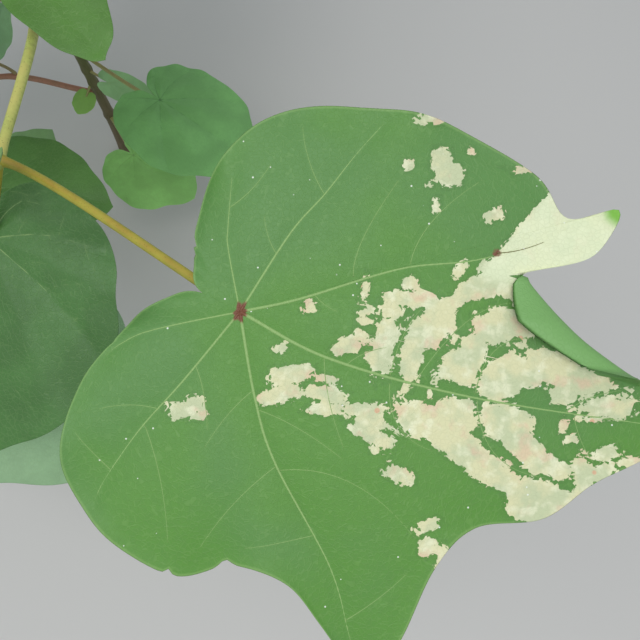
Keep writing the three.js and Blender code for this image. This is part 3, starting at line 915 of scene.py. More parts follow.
def common_leaf(leaf, seed, top_rings=26, rings_below=10, spacing=1.6):
    """The parts of one leaf, blade and veins, in the plant's frame."""
    chance = np.random.default_rng(seed)
    place = leaf_frame(leaf["base"], leaf["tip"], leaf["roll"])
    length = np.linalg.norm(np.array(leaf["tip"], float) - leaf["base"])
    width = leaf["width"]
    knots, corners = common_knots(leaf["lobing"])
    rim = rim_line(knots * length, corners, spacing)
    turn = np.arctan2(rim[:, 1], rim[:, 0])
    for waves in RIPPLES:
        rim = rim * (1 + RIPPLE_DEPTH * np.sin(waves * turn + chance.uniform(0, 6)))[:, None]
    rim[:, 1] *= width
    reach = reach_of(rim)
    angles = MAIN_VEIN_ANGLES + chance.uniform(-ANGLE_PLAY, ANGLE_PLAY, len(MAIN_VEIN_ANGLES))
    mains = []
    for angle in angles:
        end = bearing_of(polar(angle, 1) * (1, width))
        tip_reach = VEIN_END * reach(end)
        bend = chance.uniform(*MAIN_VEIN_BOW)
        knots = [(0, 0), polar(end * bend, tip_reach * 0.5), polar(end, tip_reach)]
        mains.append(vein_line(knots, MAIN_POINTS))
    sides = side_veins(mains, reach, SIDE_POINTS, length)
    phases = chance.uniform(0, 6, 3)

    def height(p):
        x, y = p[..., 0], p[..., 1]
        bearing = np.arctan2(y, x)
        edge = np.linalg.norm(p, axis=-1) / reach(np.degrees(bearing))
        wave = sum(np.sin(k * bearing + phase) for k, phase in zip(MARGIN_WAVES, phases))
        small = puffed(vein_distance(p, mains + sides), SMALL_PUFF * length, SMALL_PUFF_LENGTH * length)
        fold = puffed(vein_distance(p, mains), MAIN_FOLD * length, MAIN_FOLD_LENGTH * length)
        fall = droop_height(x, y, length, leaf["droop"])
        return fall + (small + fold) + MARGIN_WAVE * length * wave * edge**MARGIN_STEEPNESS / 2

    grids = []
    for count, side in ((top_rings, 1), (rings_below, -1)):
        out = np.sin(np.linspace(0, np.pi / 2, count + 1))[:, None]
        flat = out[..., None] * rim[None]
        z = height(flat) + side * BLADE_THICKNESS / 2 * np.sqrt(1 - out**EDGE_SQUARENESS)
        grids.append(np.concatenate([flat, z[..., None]], axis=-1))
    points, quads, tris, under = shell(*grids)
    near = vein_distance(points[:, :2], mains + sides)
    blade = {"points": set_in_frame(points, place), "quads": quads, "tris": tris,
             "values": {"under": under, "near": near, "vein": np.zeros(len(points))}}
    thick = length * VEIN_WIDTH
    widths = [(thick * (MIDRIB_SHARE if i == 0 else 1), thick * MAIN_VEIN_END) for i in range(len(mains))]
    made = [blade, vein_parts(mains, widths, height, place, MAIN_VEIN_SIDES, BLADE_THICKNESS)]
    if sides:
        widths = [tuple(thick * share for share in SIDE_VEIN_SHARES)] * len(sides)
        made.append(vein_parts(sides, widths, height, place, SIDE_VEIN_SIDES, BLADE_THICKNESS))
    for part, strength in zip(made[1:], VEIN_STRENGTHS):
        nought = np.zeros(len(part["points"]))
        part["values"] = {"under": part["below"], "near": nought, "vein": nought + strength}
    return made


print("a common leaf has", len(MAIN_VEIN_ANGLES), "main veins")

# %% [markdown]
# A living leaf isn't one even green. It has soft clouds, a net of tiny veins that is a little paler,
# pale veins, and a greyer, paler underside. A picture of a leaf would hold all that at one size only.
# Here each of them is one layer of the paint, with its own size in millimetres, so the leaf stays sharp
# from close by.

# %% The paint of common leaves


def leaf_paint(name, green, vein, below):
    """Green with soft clouds, a net of tiny veins, paler beside the veins, and a paler matt underside."""
    paint = Paint(name, mirroring=0.4)
    cloud = paint.noise(16)
    fine = paint.noise(2.2)
    net = 1 - paint.cells(1.5).between(0.02, 0.1)
    beside_vein = 1 - paint.value("near").between(0.1, 0.8)
    under = paint.mix(net * 0.3 + 0.2 * cloud, below, shade(below, 1.15))
    colour = paint.layers(
        shade(green, 0.9), (cloud.between(0.35, 0.65), shade(green, 1.1)),
        (fine.between(0.3, 0.7) * 0.2, shade(green, 0.82)), (net * 0.13, vein), (beside_vein * 0.12, vein),
        (paint.value("under"), under), (paint.value("vein") * 0.95, vein),
    )
    rough = 0.36 + 0.18 * fine + 0.2 * paint.value("under")
    return paint.finish(colour, rough, 0.6 * net + fine * 0.4, -0.07)


PALE_VEIN = (0.36, 0.52, 0.2)
GREY_GREEN = (0.3, 0.38, 0.24)
# The seen leaves' greens are matched one by one to how light each leaf looks where it hangs. Those in the
# shade of the big leaf and the crown, leaf_heart, leaf_low_bright and leaf_far_left, are made lighter than
# their own green to make up for that shade, which is painted light.
seen_looks = {
    "leaf_heart": (0.185, 0.43, 0.13),
    "leaf_low_bright": (0.34, 0.68, 0.2),
    "leaf_curled": (0.31, 0.56, 0.25),
    "leaflet_axil": (0.3, 0.56, 0.12),
    "leaf_fork": (0.083, 0.21, 0.03),
    "leaf_left_near": (0.068, 0.18, 0.042),
    "leaf_far_left": (0.34, 0.6, 0.3),
    "leaf_left_small": (0.28, 0.48, 0.2),
    "leaf_left_dark": (0.11, 0.25, 0.06),
    "leaf_left_pale": (0.29, 0.47, 0.25),
}


def vein_tint(green):
    """The colour of a leaf's veins: half way from its green to a pale yellow-green."""
    return toward(green, PALE_VEIN, 0.5)


def underside(green):
    """The colour of a leaf's underside: greyer and paler than its top."""
    return toward(green, GREY_GREEN, 0.4)


# Painted shade: the veins of leaf_heart and leaf_low_bright are painted darker than their blade, which
# stands in for the shade in the grooves along them.
groove_shaded_veins = {"leaf_heart": (0.11, 0.28, 0.085), "leaf_low_bright": (0.24, 0.5, 0.14)}
for seed, leaf in enumerate(SEEN_LEAVES[1:], start=1):
    green = seen_looks[leaf["name"]]
    vein = groove_shaded_veins.get(leaf["name"], vein_tint(green))
    material = leaf_paint(leaf["name"] + "_paint", green, vein, underside(green))
    grow_piece(leaf["name"] + "_blade", common_leaf(leaf, seed), material, [leaf["name"]])

# %% [markdown]
# The leaves outside the picture are dealt out over four sprays, each with a green of its own, because no
# two leaves of a plant are quite the same green. Leaves of one spray are one mesh, which is lighter to
# handle.

# %% Leaf sprays
SPRAY_GREENS = [(0.1, 0.225, 0.06), (0.125, 0.275, 0.075), (0.085, 0.19, 0.055), (0.15, 0.31, 0.085)]
SPRAY_SEED, SPRAY_LEAF_SEED = 7, 100
spray_chance = np.random.default_rng(SPRAY_SEED)
spray_of = spray_chance.permutation(np.arange(len(RUN_LEAVES)) % len(SPRAY_GREENS))
for spray, green in enumerate(SPRAY_GREENS):
    members = [(i, leaf) for i, leaf in enumerate(RUN_LEAVES) if spray_of[i] == spray]
    parts = [part for i, leaf in members for part in common_leaf(leaf, SPRAY_LEAF_SEED + i)]
    material = leaf_paint(f"leaf_spray_{spray + 1}_paint", green, vein_tint(green), underside(green))
    names = [leaf["name"] for _, leaf in members]
    grow_piece(f"leaf_spray_{spray + 1}", parts, material, names)

# %% [markdown]
# Each limb ends in a young shoot: a short stem with small, pale, cupped leaves that turn round it by the
# golden angle, the growing point of the plant.

# %% Shoots
SHOOTS = records("name limb length leaves blade heading", [
    ("stem_tip_shoot", STEM, 17, 4, 21, 40),
    ("front_tip_shoot", FRONT, 15, 2, 17, 200),
    ("left_tip_shoot", LEFT, 16, 3, 20, 265),
    ("back_tip_shoot", BACK, 16, 3, 21, 115),
    ("right_tip_shoot", RIGHT, 16, 3, 21, 20),
])
SHOOT_TURN = 137.5
SHOOT_RISE = 62
SHOOT_RADII = (0.9, 0.6)
SHOOT_LEAF_PLACES = (0.35, 0.95)
SHOOT_LEAF_RISE = (24, 58)
SHOOT_LAST_LEAF = 0.62
SHOOT_STALK = 0.35
SHOOT_STALK_RADII = (0.5, 0.5)
SHOOT_LOBING = 0.2
SHOOT_CUP = -0.35
SHOOT_STEM_GRID, SHOOT_STALK_GRID = (24, 14), (12, 12)
SHOOT_LEAF_SIZES = {"top_rings": 14, "rings_below": 6, "spacing": 0.8}
SHOOT_SEED = 300
INTO_LIMB = 2.0


def shoot_parts(shoot, seed):
    """The stems of one shoot, and the blades of its leaves."""
    line = LIMBS[shoot["limb"]]["line"]
    along = direction(line, 1)
    start = line(1) + along * JOINT_GAP
    middle = start + along * shoot["length"] / 2
    end = middle + headed(shoot["heading"], SHOOT_RISE) * shoot["length"] / 2
    stem = bezier(start, middle, end)
    rooted = by_length(bezier(start - along * INTO_LIMB, middle, end))[0]
    stems = [tube(rooted, *SHOOT_STEM_GRID, even_radius(SHOOT_RADII))]
    blades = []
    for i in range(shoot["leaves"]):
        share = (i + 1) / shoot["leaves"]
        joint = stem(between(SHOOT_LEAF_PLACES, share))
        length = shoot["blade"] * between((1, SHOOT_LAST_LEAF), share)
        out = headed(shoot["heading"] + SHOOT_TURN * (i + 1), between(SHOOT_LEAF_RISE, share))
        base = joint + out * length * SHOOT_STALK
        stalk = by_length(bezier(joint, (joint + base) / 2, base + out))[0]
        stems.append(tube(stalk, *SHOOT_STALK_GRID, even_radius(SHOOT_STALK_RADII)))
        leaf = {"base": base, "tip": base + out * length, "roll": 0, "lobing": SHOOT_LOBING,
                "width": 1, "droop": SHOOT_CUP}
        blades += common_leaf(leaf, seed * 10 + i, **SHOOT_LEAF_SIZES)
    return stems, blades


YOUNG_GREEN = (0.2, 0.36, 0.1)
shoot_names = [shoot["name"] for shoot in SHOOTS]
shoots = [shoot_parts(shoot, SHOOT_SEED + i) for i, shoot in enumerate(SHOOTS)]
stems, blades = ([part for shoot in shoots for part in shoot[kind]] for kind in (0, 1))
stem_paint = stalk_paint("shoot_stem_paint", (0.27, 0.36, 0.1), (0.34, 0.26, 0.1))
young_paint = leaf_paint("young_leaf_paint", YOUNG_GREEN, vein_tint(YOUNG_GREEN), underside(YOUNG_GREEN))
grow_piece("shoot_stems", stems, stem_paint, shoot_names)
grow_piece("young_leaves", blades, young_paint, shoot_names)

# %% [markdown]
# The front leaf is the plant's largest, and it has been scorched. The common rule would give it the same
# lobes as the others, but it is seen so near that its own outline and main veins are measured, in
# millimetres from the end of its stalk: an angle off the midrib, then a reach. The side veins placed one
# by one go by places along the midrib and to its left, and the rule adds the rest.

# %% Scorched leaf
MAIN_LENGTH = 106.4
MAIN_LEFT_SIDE = [
    (4, 91.2), (10, 75.5), (19, 65.6), (22.3, 64.3), (23.5, 80), (29.4, 86.7), (30.6, 76.3), (39.6, 72.8),
    (57.9, 61.6), (73.7, 52.9), (91.5, 45.9), (110, 35.6), (129.7, 21.6), (149.5, 14.6), (166, 10.5),
]
MAIN_RIGHT_SIDE = [
    (6.1, 95.6), (11.7, 88), (20, 82.7), (28.2, 71.7), (37.5, 71.7), (49.2, 81.8), (57.4, 90), (61.2, 72.4),
    (66, 61.5), (76.6, 57.1), (89.7, 61.2), (107.7, 58), (125.2, 52), (142.2, 38.5), (161.7, 23.5),
    (178.9, 15.5), (191.2, 10.4),
]
MAIN_SLIT = (167.3, 3)
MAIN_CORNERS = (-57.4, 0, 22.3)
MAIN_VEINS = [
    [(-13.1, 22.6), (-5.8, 54.9), (-1.1, 93), (0, 104)],
    [(26.7, 13.7), (29.5, 37.2), (26.9, 57.3), (29.5, 84)],
    [(71.8, 20.8), (68.7, 32.5), (68, 44.1), (67, 53)],
    [(115, 14.3), (112.6, 19), (108, 30)],
    [(-65.7, 19.7), (-62.5, 34.9), (-56.2, 60.9), (-57, 77.3), (-57.3, 87)],
    [(-115, 19.5), (-116, 34.5), (-114.5, 48.2), (-113, 54)],
    [(-154.4, 12.8), (-153.3, 22.2), (-150.8, 27.3), (-148, 32)],
]
MAIN_SIDE_VEINS = [
    [(36.1, -5.5), (35.6, 6), (39.3, 11)],
    [(41.8, -5.7), (48.4, 15.1), (59.4, 17.4)],
    [(55.6, -4.6), (54.5, 8.5), (64, 10.5)],
    [(36.4, -7.1), (38.5, -18.5), (49.3, -19.3)],
    [(56.3, -5.5), (60.5, -21), (76.3, -18.9)],
    [(78.6, -4.2), (81, -9.5), (85.3, -13)],
    [(34.2, 19.9), (33.6, 30), (45, 42)],
    [(22.6, 13.9), (20.3, 20.3), (27.2, 37.9)],
    [(17.5, -32.2), (33.4, -25.9), (50.4, -39.1)],
    [(76.5, -3.4), (80, 1.5), (87, 4.4)],
]
MAIN_SPACING = 1.15
MAIN_VEIN_POINTS, SIDE_VEIN_POINTS, BEND_SAMPLES = 60, 24, 12
MIDDLE_LOBE_FROM, MIDDLE_LOBE_SIDES = 30, (-8, 14)
VEIN_CLEARANCE, VEIN_START = 2.5, 8
MARGIN_BITES = [(137.5, 0.06, 1.6), (143, 0.05, 1.2), (-91, 0.02, 0.8), (-79, 0.025, 1.6), (-152, 0.015, 1)]

main_leaf = SEEN_LEAVES[0]
main_place = leaf_frame(main_leaf["base"], main_leaf["tip"], main_leaf["roll"])
slit_angle, slit_reach = MAIN_SLIT
right = [(-angle, reach) for angle, reach in reversed(MAIN_RIGHT_SIDE)]
main_knots = np.array([
    (slit_angle - 360, slit_reach), *right, (0, MAIN_LENGTH), *MAIN_LEFT_SIDE, MAIN_SLIT,
])
main_corners = [i for i, knot in enumerate(main_knots) if knot[0] in MAIN_CORNERS]
main_corners = [0, *main_corners, len(main_knots) - 1]
main_rim = rim_line(polar(main_knots[:, 0], main_knots[:, 1]), main_corners, MAIN_SPACING)
rim_bearing = bearing_of(main_rim)
for bearing, depth, width in MARGIN_BITES:
    main_rim = main_rim * (1 - depth * np.exp(-(((rim_bearing - bearing) / width) ** 2)))[:, None]
main_reach = reach_of(main_rim)


def bent_vein(points):
    """A side vein that is placed one by one, on a Bezier of three places."""
    return vein_line(bezier(*points)(np.linspace(0, 1, BEND_SAMPLES)), SIDE_VEIN_POINTS)


def clear_of_given(line):
    """Whether a side vein starts outside the middle lobe and keeps clear of the placed ones."""
    x, y = line[0]
    in_lobe = x > MIDDLE_LOBE_FROM and MIDDLE_LOBE_SIDES[0] < y < MIDDLE_LOBE_SIDES[1]
    return not in_lobe and vein_distance(line[VEIN_START:], main_given).min() > VEIN_CLEARANCE


main_mains = [
    vein_line([(0, 0), *(polar(*knot) for knot in vein)], MAIN_VEIN_POINTS) for vein in MAIN_VEINS
]
main_given = [bent_vein(vein) for vein in MAIN_SIDE_VEINS]
main_ruled = side_veins(main_mains, main_reach, SIDE_VEIN_POINTS, MAIN_LENGTH)
main_sides = main_given + [line for line in main_ruled if clear_of_given(line)]
print("outline of", len(main_rim), "points,", len(main_sides), "side veins")

# %% [markdown]
# The blade puffs up between its veins, and its margin is turned up a little all round. On the upper side
# of the middle lobe the dried margin has rolled over on itself. The roll could be a tube laid on the
# blade, but here the blade's own last rings turn round a circle instead of going on straight, so the
# roll grows out of the blade and shows its underside.

# %% The rolled blade
ROLL_FROM, ROLL_TO = 4.1, 22.6
ROLL_RAMPS = (1.5, 1.6)
HEM_RAMPS = (1.3, 10)
ROLL_TURN = 3.7
ROLL_HEM = 26
ROLL_FLATNESS = 0.29
HEM = 4.0
HEM_TURN = 0.35
PLAIN_HEM_LIFT = 0.6
LEAST_HEM = 0.4
HEM_PLACE = 0.7
MAIN_EDGE_SQUARENESS = 9
RING_CROWDING = 0.9
MAIN_RINGS = (92, 20)
MAIN_RINGS_BELOW = (22, 16)
MAIN_THICKNESS = 0.4
MAIN_PUFF, MAIN_PUFF_LENGTH = 0.16, 2.4
BROAD_PUFF, BROAD_PUFF_LENGTH = 1.2, 9
MAIN_WAVES = ((1, 6, 1), (0.6, 11, 2), (0.35, 19, 0))
MAIN_WAVE, MAIN_STEEPNESS = 0.9, 5
CURL_PLACE, CURL_HEIGHT, CURL_SPREAD = (75.5, 42.6), 3.4, 22


def main_height(p):
    """The large leaf's surface: it falls a little, puffs up between its veins, waves at the margin, and
    the tip of its side lobe curls up."""
    x, y = p[..., 0], p[..., 1]
    bearing = np.arctan2(y, x)
    edge = np.linalg.norm(p, axis=-1) / main_reach(np.degrees(bearing))
    small = puffed(vein_distance(p, main_mains + main_sides), MAIN_PUFF, MAIN_PUFF_LENGTH)
    broad = puffed(vein_distance(p, main_mains), BROAD_PUFF, BROAD_PUFF_LENGTH)
    wave = sum(size * np.sin(k * bearing + phase) for size, k, phase in MAIN_WAVES)
    curl = CURL_HEIGHT * np.exp(-((x - CURL_PLACE[0]) ** 2 + (y - CURL_PLACE[1]) ** 2) / CURL_SPREAD)
    fall = droop_height(x, y, MAIN_LENGTH, main_leaf["droop"])
    return fall + (small + broad) + MAIN_WAVE * wave * edge**MAIN_STEEPNESS + curl


def main_sheet(rings, side):
    """The rings of the blade's top or underside. A ray runs straight out to its hem, and over the hem it
    turns through an angle: reach = start + hem / turn * sin(turn * u), lift = hem / turn * (1 - cos).
    Each point also keeps how far it is rolled over."""
    flat_rings, hem_rings = rings
    bearing = bearing_of(main_rim)
    far = np.linalg.norm(main_rim, axis=1)
    rolled, widened = (
        np.clip(np.minimum((bearing - ROLL_FROM) / low, (ROLL_TO - bearing) / high), 0, 1)
        for low, high in (ROLL_RAMPS, HEM_RAMPS)
    )
    rolled = rolled**2 * (3 - 2 * rolled)
    turn = between((HEM_TURN, ROLL_TURN), rolled)
    hem = np.minimum(HEM, LEAST_HEM * far) + (ROLL_HEM - HEM) * widened
    start = far - hem / turn * np.where(turn > np.pi / 2, 1, np.sin(turn))
    u = np.concatenate([np.zeros(flat_rings), np.linspace(0, 1, hem_rings + 1)])[:, None]
    inner = (np.arange(flat_rings) / flat_rings) ** RING_CROWDING
    out = np.concatenate([inner, np.ones(hem_rings + 1)])[:, None]
    reach = out * start + hem / turn * np.sin(turn * u)
    flatness = 1 - (1 - ROLL_FLATNESS) * rolled
    lift = flatness * hem / turn * (1 - np.cos(turn * u)) * np.where(rolled > 0, 1, PLAIN_HEM_LIFT)
    ray = main_rim / far[:, None]
    place = np.concatenate([out[:flat_rings] * HEM_PLACE, between((HEM_PLACE, 1), u[flat_rings:])])
    thick = side * MAIN_THICKNESS / 2 * np.sqrt(np.clip(1 - place**MAIN_EDGE_SQUARENESS, 0, 1))
    reach = reach - thick * np.sin(turn * u)
    flat = reach[..., None] * ray
    surface = main_height(np.minimum(reach, far)[..., None] * ray)
    z = surface + lift + thick * np.cos(turn * u)
    rolled_over = np.broadcast_to(rolled * (u > 0), reach.shape)
    return np.concatenate([flat, z[..., None], rolled_over[..., None]], axis=-1)


main_top, main_below = main_sheet(MAIN_RINGS, 1), main_sheet(MAIN_RINGS_BELOW, -1)
main_grid, main_quads, main_tris, main_under = shell(main_top, main_below)
main_flat, main_rolled = main_grid[:, :2], main_grid[:, 3]
print("blade of", len(main_grid), "points")

# %% [markdown]
# The bleached patches lie between the veins, each a squarish oval given by its middle, its half length,
# its half width in millimetres on the blade, and its turn in degrees. A point's value is its distance to
# the nearest patch's edge, less than nothing inside, and a strip along each vein stays green. The paint
# turns this smooth distance into ragged edges.

# %% Scorch
SCORCH_PATCHES = [
    (35.3, 15.5, 1.5, 1.4, 14), (36.5, 12.5, 4.9, 1.6, 12), (32.8, 8.6, 2.5, 1.5, 14),
    (33.5, 0.5, 6.6, 2.6, 98), (30.8, -2.1, 1.3, 0.9, 14), (39.5, 0, 5.5, 2.2, 98),
    (42.6, 7.2, 4.8, 4.4, 14), (42.9, 11.9, 3.6, 1.9, 40), (47.5, 16.7, 4.3, 1.7, 56),
    (54, 20.9, 5.9, 2.6, 32), (56.8, 11.5, 5.7, 4, 14), (62.4, 11.3, 2, 3.2, 4), (52.6, 5, 2.6, 3.2, 14),
    (51, 0.6, 4.2, 3.6, -6), (60.7, 0.7, 6.1, 4.3, 42), (64.9, 2.8, 3.9, 3.1, 14), (72, 4.4, 5.9, 2.8, -10),
    (80.3, 2.8, 7.5, 1.6, 6), (69.5, 7, 5.5, 2, 8), (78, 5.6, 5, 1.3, 2), (57.5, 20.5, 3.4, 2.8, 0),
    (75, 0, 3, 1.9, 14), (84.9, -0.7, 6.3, 2.2, 20), (44.6, -13.5, 5.1, 3.6, 4),
    (52.8, -10.4, 4.8, 3.9, 14), (54.6, -16.5, 9.1, 3.3, -22), (63.4, -20.3, 7.5, 3, -18),
    (63.7, -9, 5.7, 4.1, -6), (69.3, -13.4, 6.4, 3, -30), (77.5, -16.7, 2.9, 2.2, -6),
    (74.3, -24.5, 5.7, 4.8, 14), (79.7, -23.6, 3.9, 3, 4), (83.5, -14.9, 3.7, 2.3, 94),
    (87, -14.7, 3.4, 1.6, 32), (84.3, -19.4, 3, 1.5, 64), (87.7, -10.2, 2.5, 1.4, 34),
    (93.2, -10.7, 2.7, 0.8, 20), (32.9, -14.1, 4.3, 1.3, 14), (34.3, -16.5, 3.8, 1.4, 10),
    (35.6, -19.1, 4.3, 1.4, -16), (14.5, -10.7, 4.4, 2, 22), (13.6, -15.4, 4.3, 1.6, 30),
    (23.3, -13, 3.9, 1.4, 2), (23.8, -16.1, 3.1, 1.1, 14), (21.3, -9.9, 1.9, 0.6, 4),
    (24.4, -1.4, 2.8, 1.5, 44), (26.6, -1.3, 1, 0.9, 14), (27.6, 1.7, 1.5, 1, -16), (28, 5, 1.5, 0.6, 14),
    (27.2, 7.1, 1.5, 0.8, 4), (25.7, 12.4, 1.5, 0.6, 94), (43.2, -26.2, 2.8, 1.6, -16),
    (52.6, -36, 2.3, 1.1, 40), (53.7, -40.6, 1.9, 1.8, 14), (57.6, -41.6, 1.5, 0.7, 94),
    (45.4, 21.7, 1.4, 0.9, 74), (50.3, 23.2, 1.2, 0.8, 84), (49.7, 35.1, 1.5, 1, 34),
    (36.7, 34.1, 0.9, 0.6, 104), (34.1, 38.2, 0.5, 0.5, 14), (11, -5.3, 1.1, 0.7, 44),
    (37, -22.1, 0.8, 0.7, 14), (13.7, 6.2, 0.6, 0.5, 14), (14.9, 4.7, 0.7, 0.4, 24),
    (76.9, -7, 1.4, 0.7, 94), (78.9, -9.3, 1.4, 0.8, 24), (39.4, -8.2, 1.2, 0.5, 70),
    (46, -4.7, 1.8, 0.5, 94), (35.2, 44, 2.1, 2.5, 14), (37.8, 41.4, 2.6, 2.6, 14),
    (28, 41.2, 0.7, 0.7, 14), (41.1, 47.7, 0.7, 0.7, 14), (30.1, 51.9, 2.2, 0.8, 14),
    (53.2, 46.6, 1.3, 0.4, 14), (57.3, -41.8, 1.1, 2.1, 14), (-7.2, -24.8, 2.9, 1.6, 14),
    (-4.4, -22.3, 1.8, 1.5, 14), (-2.6, -24.5, 1.2, 0.7, 14),
]
PATCH_SQUARENESS = 3.2
PATCH_GROWTH = 0.3
GREEN_STRIP = 0.6
LOBE_LINE = (51.7, 25.9, 0.48)
LOBE_FLOOR = 21


def lobe_distance(p):
    """The distance to the edge of the bleached side lobe, below 0 inside it. A slanting line cuts it off
    from the leaf's middle, and a level one from the midrib's side."""
    line_x, line_y, slope = LOBE_LINE
    return np.maximum(line_x + (p[:, 1] - line_y) * slope - p[:, 0], LOBE_FLOOR - p[:, 1])


def scorch_distance(p):
    """The distance to the edge of the patches in millimetres, below 0 inside them."""
    x, y, half_long, half_wide, turn = np.array(SCORCH_PATCHES).T
    turn = np.radians(turn)
    dx, dy = p[:, :1] - x, p[:, 1:2] - y
    u = np.abs(dx * np.cos(turn) + dy * np.sin(turn)) / half_long
    v = np.abs(dy * np.cos(turn) - dx * np.sin(turn)) / half_wide
    size = (u**PATCH_SQUARENESS + v**PATCH_SQUARENESS) ** (1 / PATCH_SQUARENESS)
    nearest = ((size - 1) * np.minimum(half_long, half_wide)).min(1) - PATCH_GROWTH
    nearest = np.maximum(nearest, GREEN_STRIP - vein_distance(p, main_mains + main_given))
    return np.minimum(nearest, lobe_distance(p))


main_scorch = scorch_distance(main_flat)
print("scorched points:", int((main_scorch < 0).sum()), "of", len(main_flat))

# %% [markdown]
# The blade, its veins and the thin dark thread by the lobe become the parts of one mesh. All of them
# carry the same values, such as the distance to the brown spot on the stalk's end, to the dark spot or
# to the lobe's green tip. The paint could look these places up by coordinates, but a value that is kept
# on the mesh follows the blade wherever it bends.

# %% Parts of the scorched leaf
GREEN_TIP, GREEN_TIP_SIZE = (76.2, 43), 5
DARK_SPOT = (52.4, 27.2)
DARK_THREAD = [DARK_SPOT, (57, 28.4), (62, 32.2)]
THREAD_SHARE = 0.9
SPOT_NARROWNESS = 1.8
LOBE_FADE = 3
PALE_RIM = 1.1
ROLLED_OUT = 0.15
UNSCORCHED = 9.0
VEIN_SCORCH_STEP = 1.4
MAIN_WIDTHS = [
    (1.05, 0.36), (0.9, 0.3), (0.75, 0.28), (0.55, 0.24), (0.95, 0.3), (0.75, 0.28), (0.55, 0.24),
]
SIDE_WIDTHS = (0.36, 0.18)
THREAD_WIDTHS, THREAD_RISE = (0.34, 0.14), 1.6
FAR_OFF = 99


def away_from(p, place):
    """The distance of each place on the blade from one of them."""
    return np.hypot(p[:, 0] - place[0], p[:, 1] - place[1])


def scorched_values(p, scorch, **known):
    """What the paint reads of each place: the scorch, the distances from the stalk's end and from the dark
    spot, how far inside the bleached lobe it lies, and 0 for every other value that isn't known."""
    nought = np.zeros(len(p))
    values = {key: nought for key in ("near", "tip", "under", "rolled", "vein", "rim")}
    return {
        **values, **known, "scorch": scorch, "from_spot": away_from(p, DARK_SPOT),
        "from_stalk": np.hypot(p[:, 0] * SPOT_NARROWNESS, p[:, 1]),
        "lobe": np.clip(0.5 - lobe_distance(p) / LOBE_FADE, 0, 1),
    }


to_margin = main_reach(bearing_of(main_flat)) - np.linalg.norm(main_flat, axis=1)
main_values = scorched_values(
    main_flat, np.where(main_rolled > ROLLED_OUT, UNSCORCHED, main_scorch),
    near=vein_distance(main_flat, main_mains + main_sides), under=main_under, rolled=main_rolled,
    tip=np.clip(1 - away_from(main_flat, GREEN_TIP) / GREEN_TIP_SIZE, 0, 1),
    rim=np.clip(1 - to_margin / PALE_RIM, 0, 1),
)
main_points = set_in_frame(main_grid[:, :3], main_place)
main_blade = {"points": main_points, "quads": main_quads, "tris": main_tris, "values": main_values}
main_parts = [main_blade]
for lines, widths, sides, strength in (
    (main_mains, MAIN_WIDTHS, MAIN_VEIN_SIDES, VEIN_STRENGTHS[0]),
    (main_sides, [SIDE_WIDTHS] * len(main_sides), SIDE_VEIN_SIDES, VEIN_STRENGTHS[1]),
):
    part = vein_parts(lines, widths, main_height, main_place, sides, MAIN_THICKNESS)
    flat = part["flat"]
    scorch = scorch_distance(flat) + VEIN_SCORCH_STEP * (lobe_distance(flat) > 0)
    part["values"] = scorched_values(flat, scorch, under=part["below"], vein=np.full(len(flat), strength))
    main_parts.append(part)
thread_line = bent_vein(DARK_THREAD)
thread_rise = THREAD_RISE * MAIN_THICKNESS
thread = vein_parts([thread_line], [THREAD_WIDTHS], main_height, main_place, SIDE_VEIN_SIDES, thread_rise)
thread["values"] = {key: np.zeros(len(thread["points"])) for key in main_values}
thread["values"]["scorch"] += UNSCORCHED
thread["values"]["from_stalk"] += FAR_OFF
thread["values"]["from_spot"] += THREAD_SHARE
main_parts.append(thread)
print("the scorched leaf has", len(main_parts), "parts")

# %% [markdown]
# The paint of the scorched leaf starts as a fresh green. Inside a patch it turns to cream, with greyer
# and pinker clouds in it. A dead patch ends at the tiny veins round each cell of the leaf, so its edge
# is moved by a random step for each cell of a fine net, which makes it ragged in the way that the real
# one is.

# %% Scorched leaf's paint
LEAF_GREEN = (0.102, 0.254, 0.06)
LEAF_GREEN_WARM = (0.1, 0.27, 0.038)
LEAF_VEIN = (0.3, 0.47, 0.16)
TIP_GREEN = (0.22, 0.5, 0.07)
RUST = (0.72, 0.36, 0.22)
LEAF_BELOW = (0.25, 0.4, 0.19)
ROLLED_GREEN = (0.19, 0.395, 0.12)
CREAM = (0.71, 0.69, 0.41)
CREAM_PALE = (0.86, 0.86, 0.6)
CREAM_GREEN = (0.56, 0.61, 0.37)
CREAM_LOBE = (0.78, 0.84, 0.56)
PINK_BROWN = (0.74, 0.5, 0.35)
SPOT_BROWN = (0.2, 0.075, 0.04)
SPECK = (0.85, 0.88, 0.78)

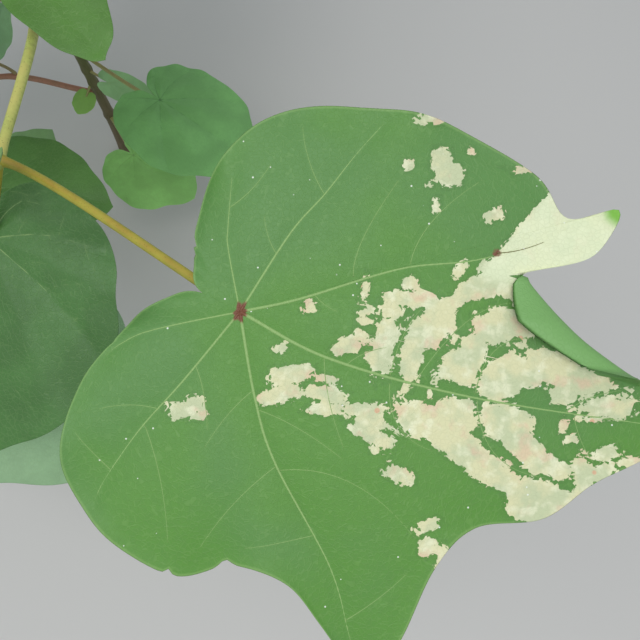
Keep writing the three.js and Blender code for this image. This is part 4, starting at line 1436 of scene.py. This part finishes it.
paint = Paint("scorched_leaf_paint", mirroring=0.4)
cloud, fine = paint.noise(34, 2.0), paint.noise(1.6)
net = 1 - paint.cells(1.1).between(0.02, 0.11)
# Painted light: toward the front of the plant, at lower Y, more of the blade takes the warmer, less blue
# green, which stands in for less blue sky reflected there.
near_side = 1 - paint.along("Y").between(-0.25, -0.19)
beside_vein = 1 - paint.value("near").between(0.1, 0.7)
jitter = 0.5 * (paint.cells(0.7, "number") - 0.5) + 0.85 * (paint.cells(1.8, "number") - 0.5)
ragged = paint.value("scorch") + jitter + 0.7 * (paint.noise(2.8, 2.0) - 0.5)
dead = 1 - ragged.between(-0.07, 0.07)
dark_edge = ragged.between(0.05, 0.3) * (1 - ragged.between(0.3, 0.75))
rust = 1 - (paint.cells(6, "middle") + 0.05 * fine).between(0.1, 0.15)
rust = rust * paint.cells(6, "number").between(0.55, 0.6)
specks = 1 - paint.cells(3.2, "middle").between(0.05, 0.08)
specks = specks * paint.cells(3.2, "number").between(0.45, 0.5)
star = paint.value("from_stalk") + 1.4 * fine + 1.5 * paint.value("near").between(0, 1.1)
cream = paint.layers(
    CREAM_GREEN, (paint.noise(7).between(0.4, 0.6), CREAM),
    (paint.noise(3.1).between(0.48, 0.68) * 0.6, CREAM_PALE),
    (paint.noise(5.3).between(0.52, 0.7) * 0.6, PINK_BROWN),
    (paint.value("lobe").between(0, 1) * 0.75, CREAM_LOBE), (net * 0.12, CREAM_GREEN), (rust * 0.7, RUST),
)
under = paint.layers(
    LEAF_BELOW, (cloud, shade(LEAF_BELOW, 1.12)), (dead, cream),
    (paint.value("rolled").between(0.02, 0.3), ROLLED_GREEN),
)
colour = paint.layers(
    LEAF_GREEN, ((cloud + 0.15 * near_side).between(0.38, 0.7), LEAF_GREEN_WARM),
    (fine.between(0.35, 0.75) * 0.2, shade(LEAF_GREEN, 0.84)), (net * 0.1, LEAF_VEIN),
    (beside_vein * 0.08, LEAF_VEIN),
    ((paint.value("rim") - 0.2 * fine).between(0.1, 0.6) * 0.35, LEAF_VEIN),
    (dark_edge * 0.25, shade(LEAF_GREEN, 0.6)), (dead, cream), (specks * 0.85, SPECK),
    ((paint.value("tip") + 0.12 * fine).between(0.12, 0.62), TIP_GREEN), (paint.value("under"), under),
    (paint.value("vein") * (0.9 - 0.9 * paint.value("lobe")), LEAF_VEIN),
    (1 - (paint.value("from_spot") + 0.8 * fine).between(1.0, 1.7), SPOT_BROWN),
    (1 - star.between(2.9, 4.1), SPOT_BROWN),
)
rough = 0.42 + 0.16 * fine + 0.2 * dead
scorched_paint = paint.finish(colour, rough, 0.5 * net + 0.5 * fine - 0.8 * dead, 0.07)
grow_piece("leaf_scorched_blade", main_parts, scorched_paint, ["leaf_scorched"])
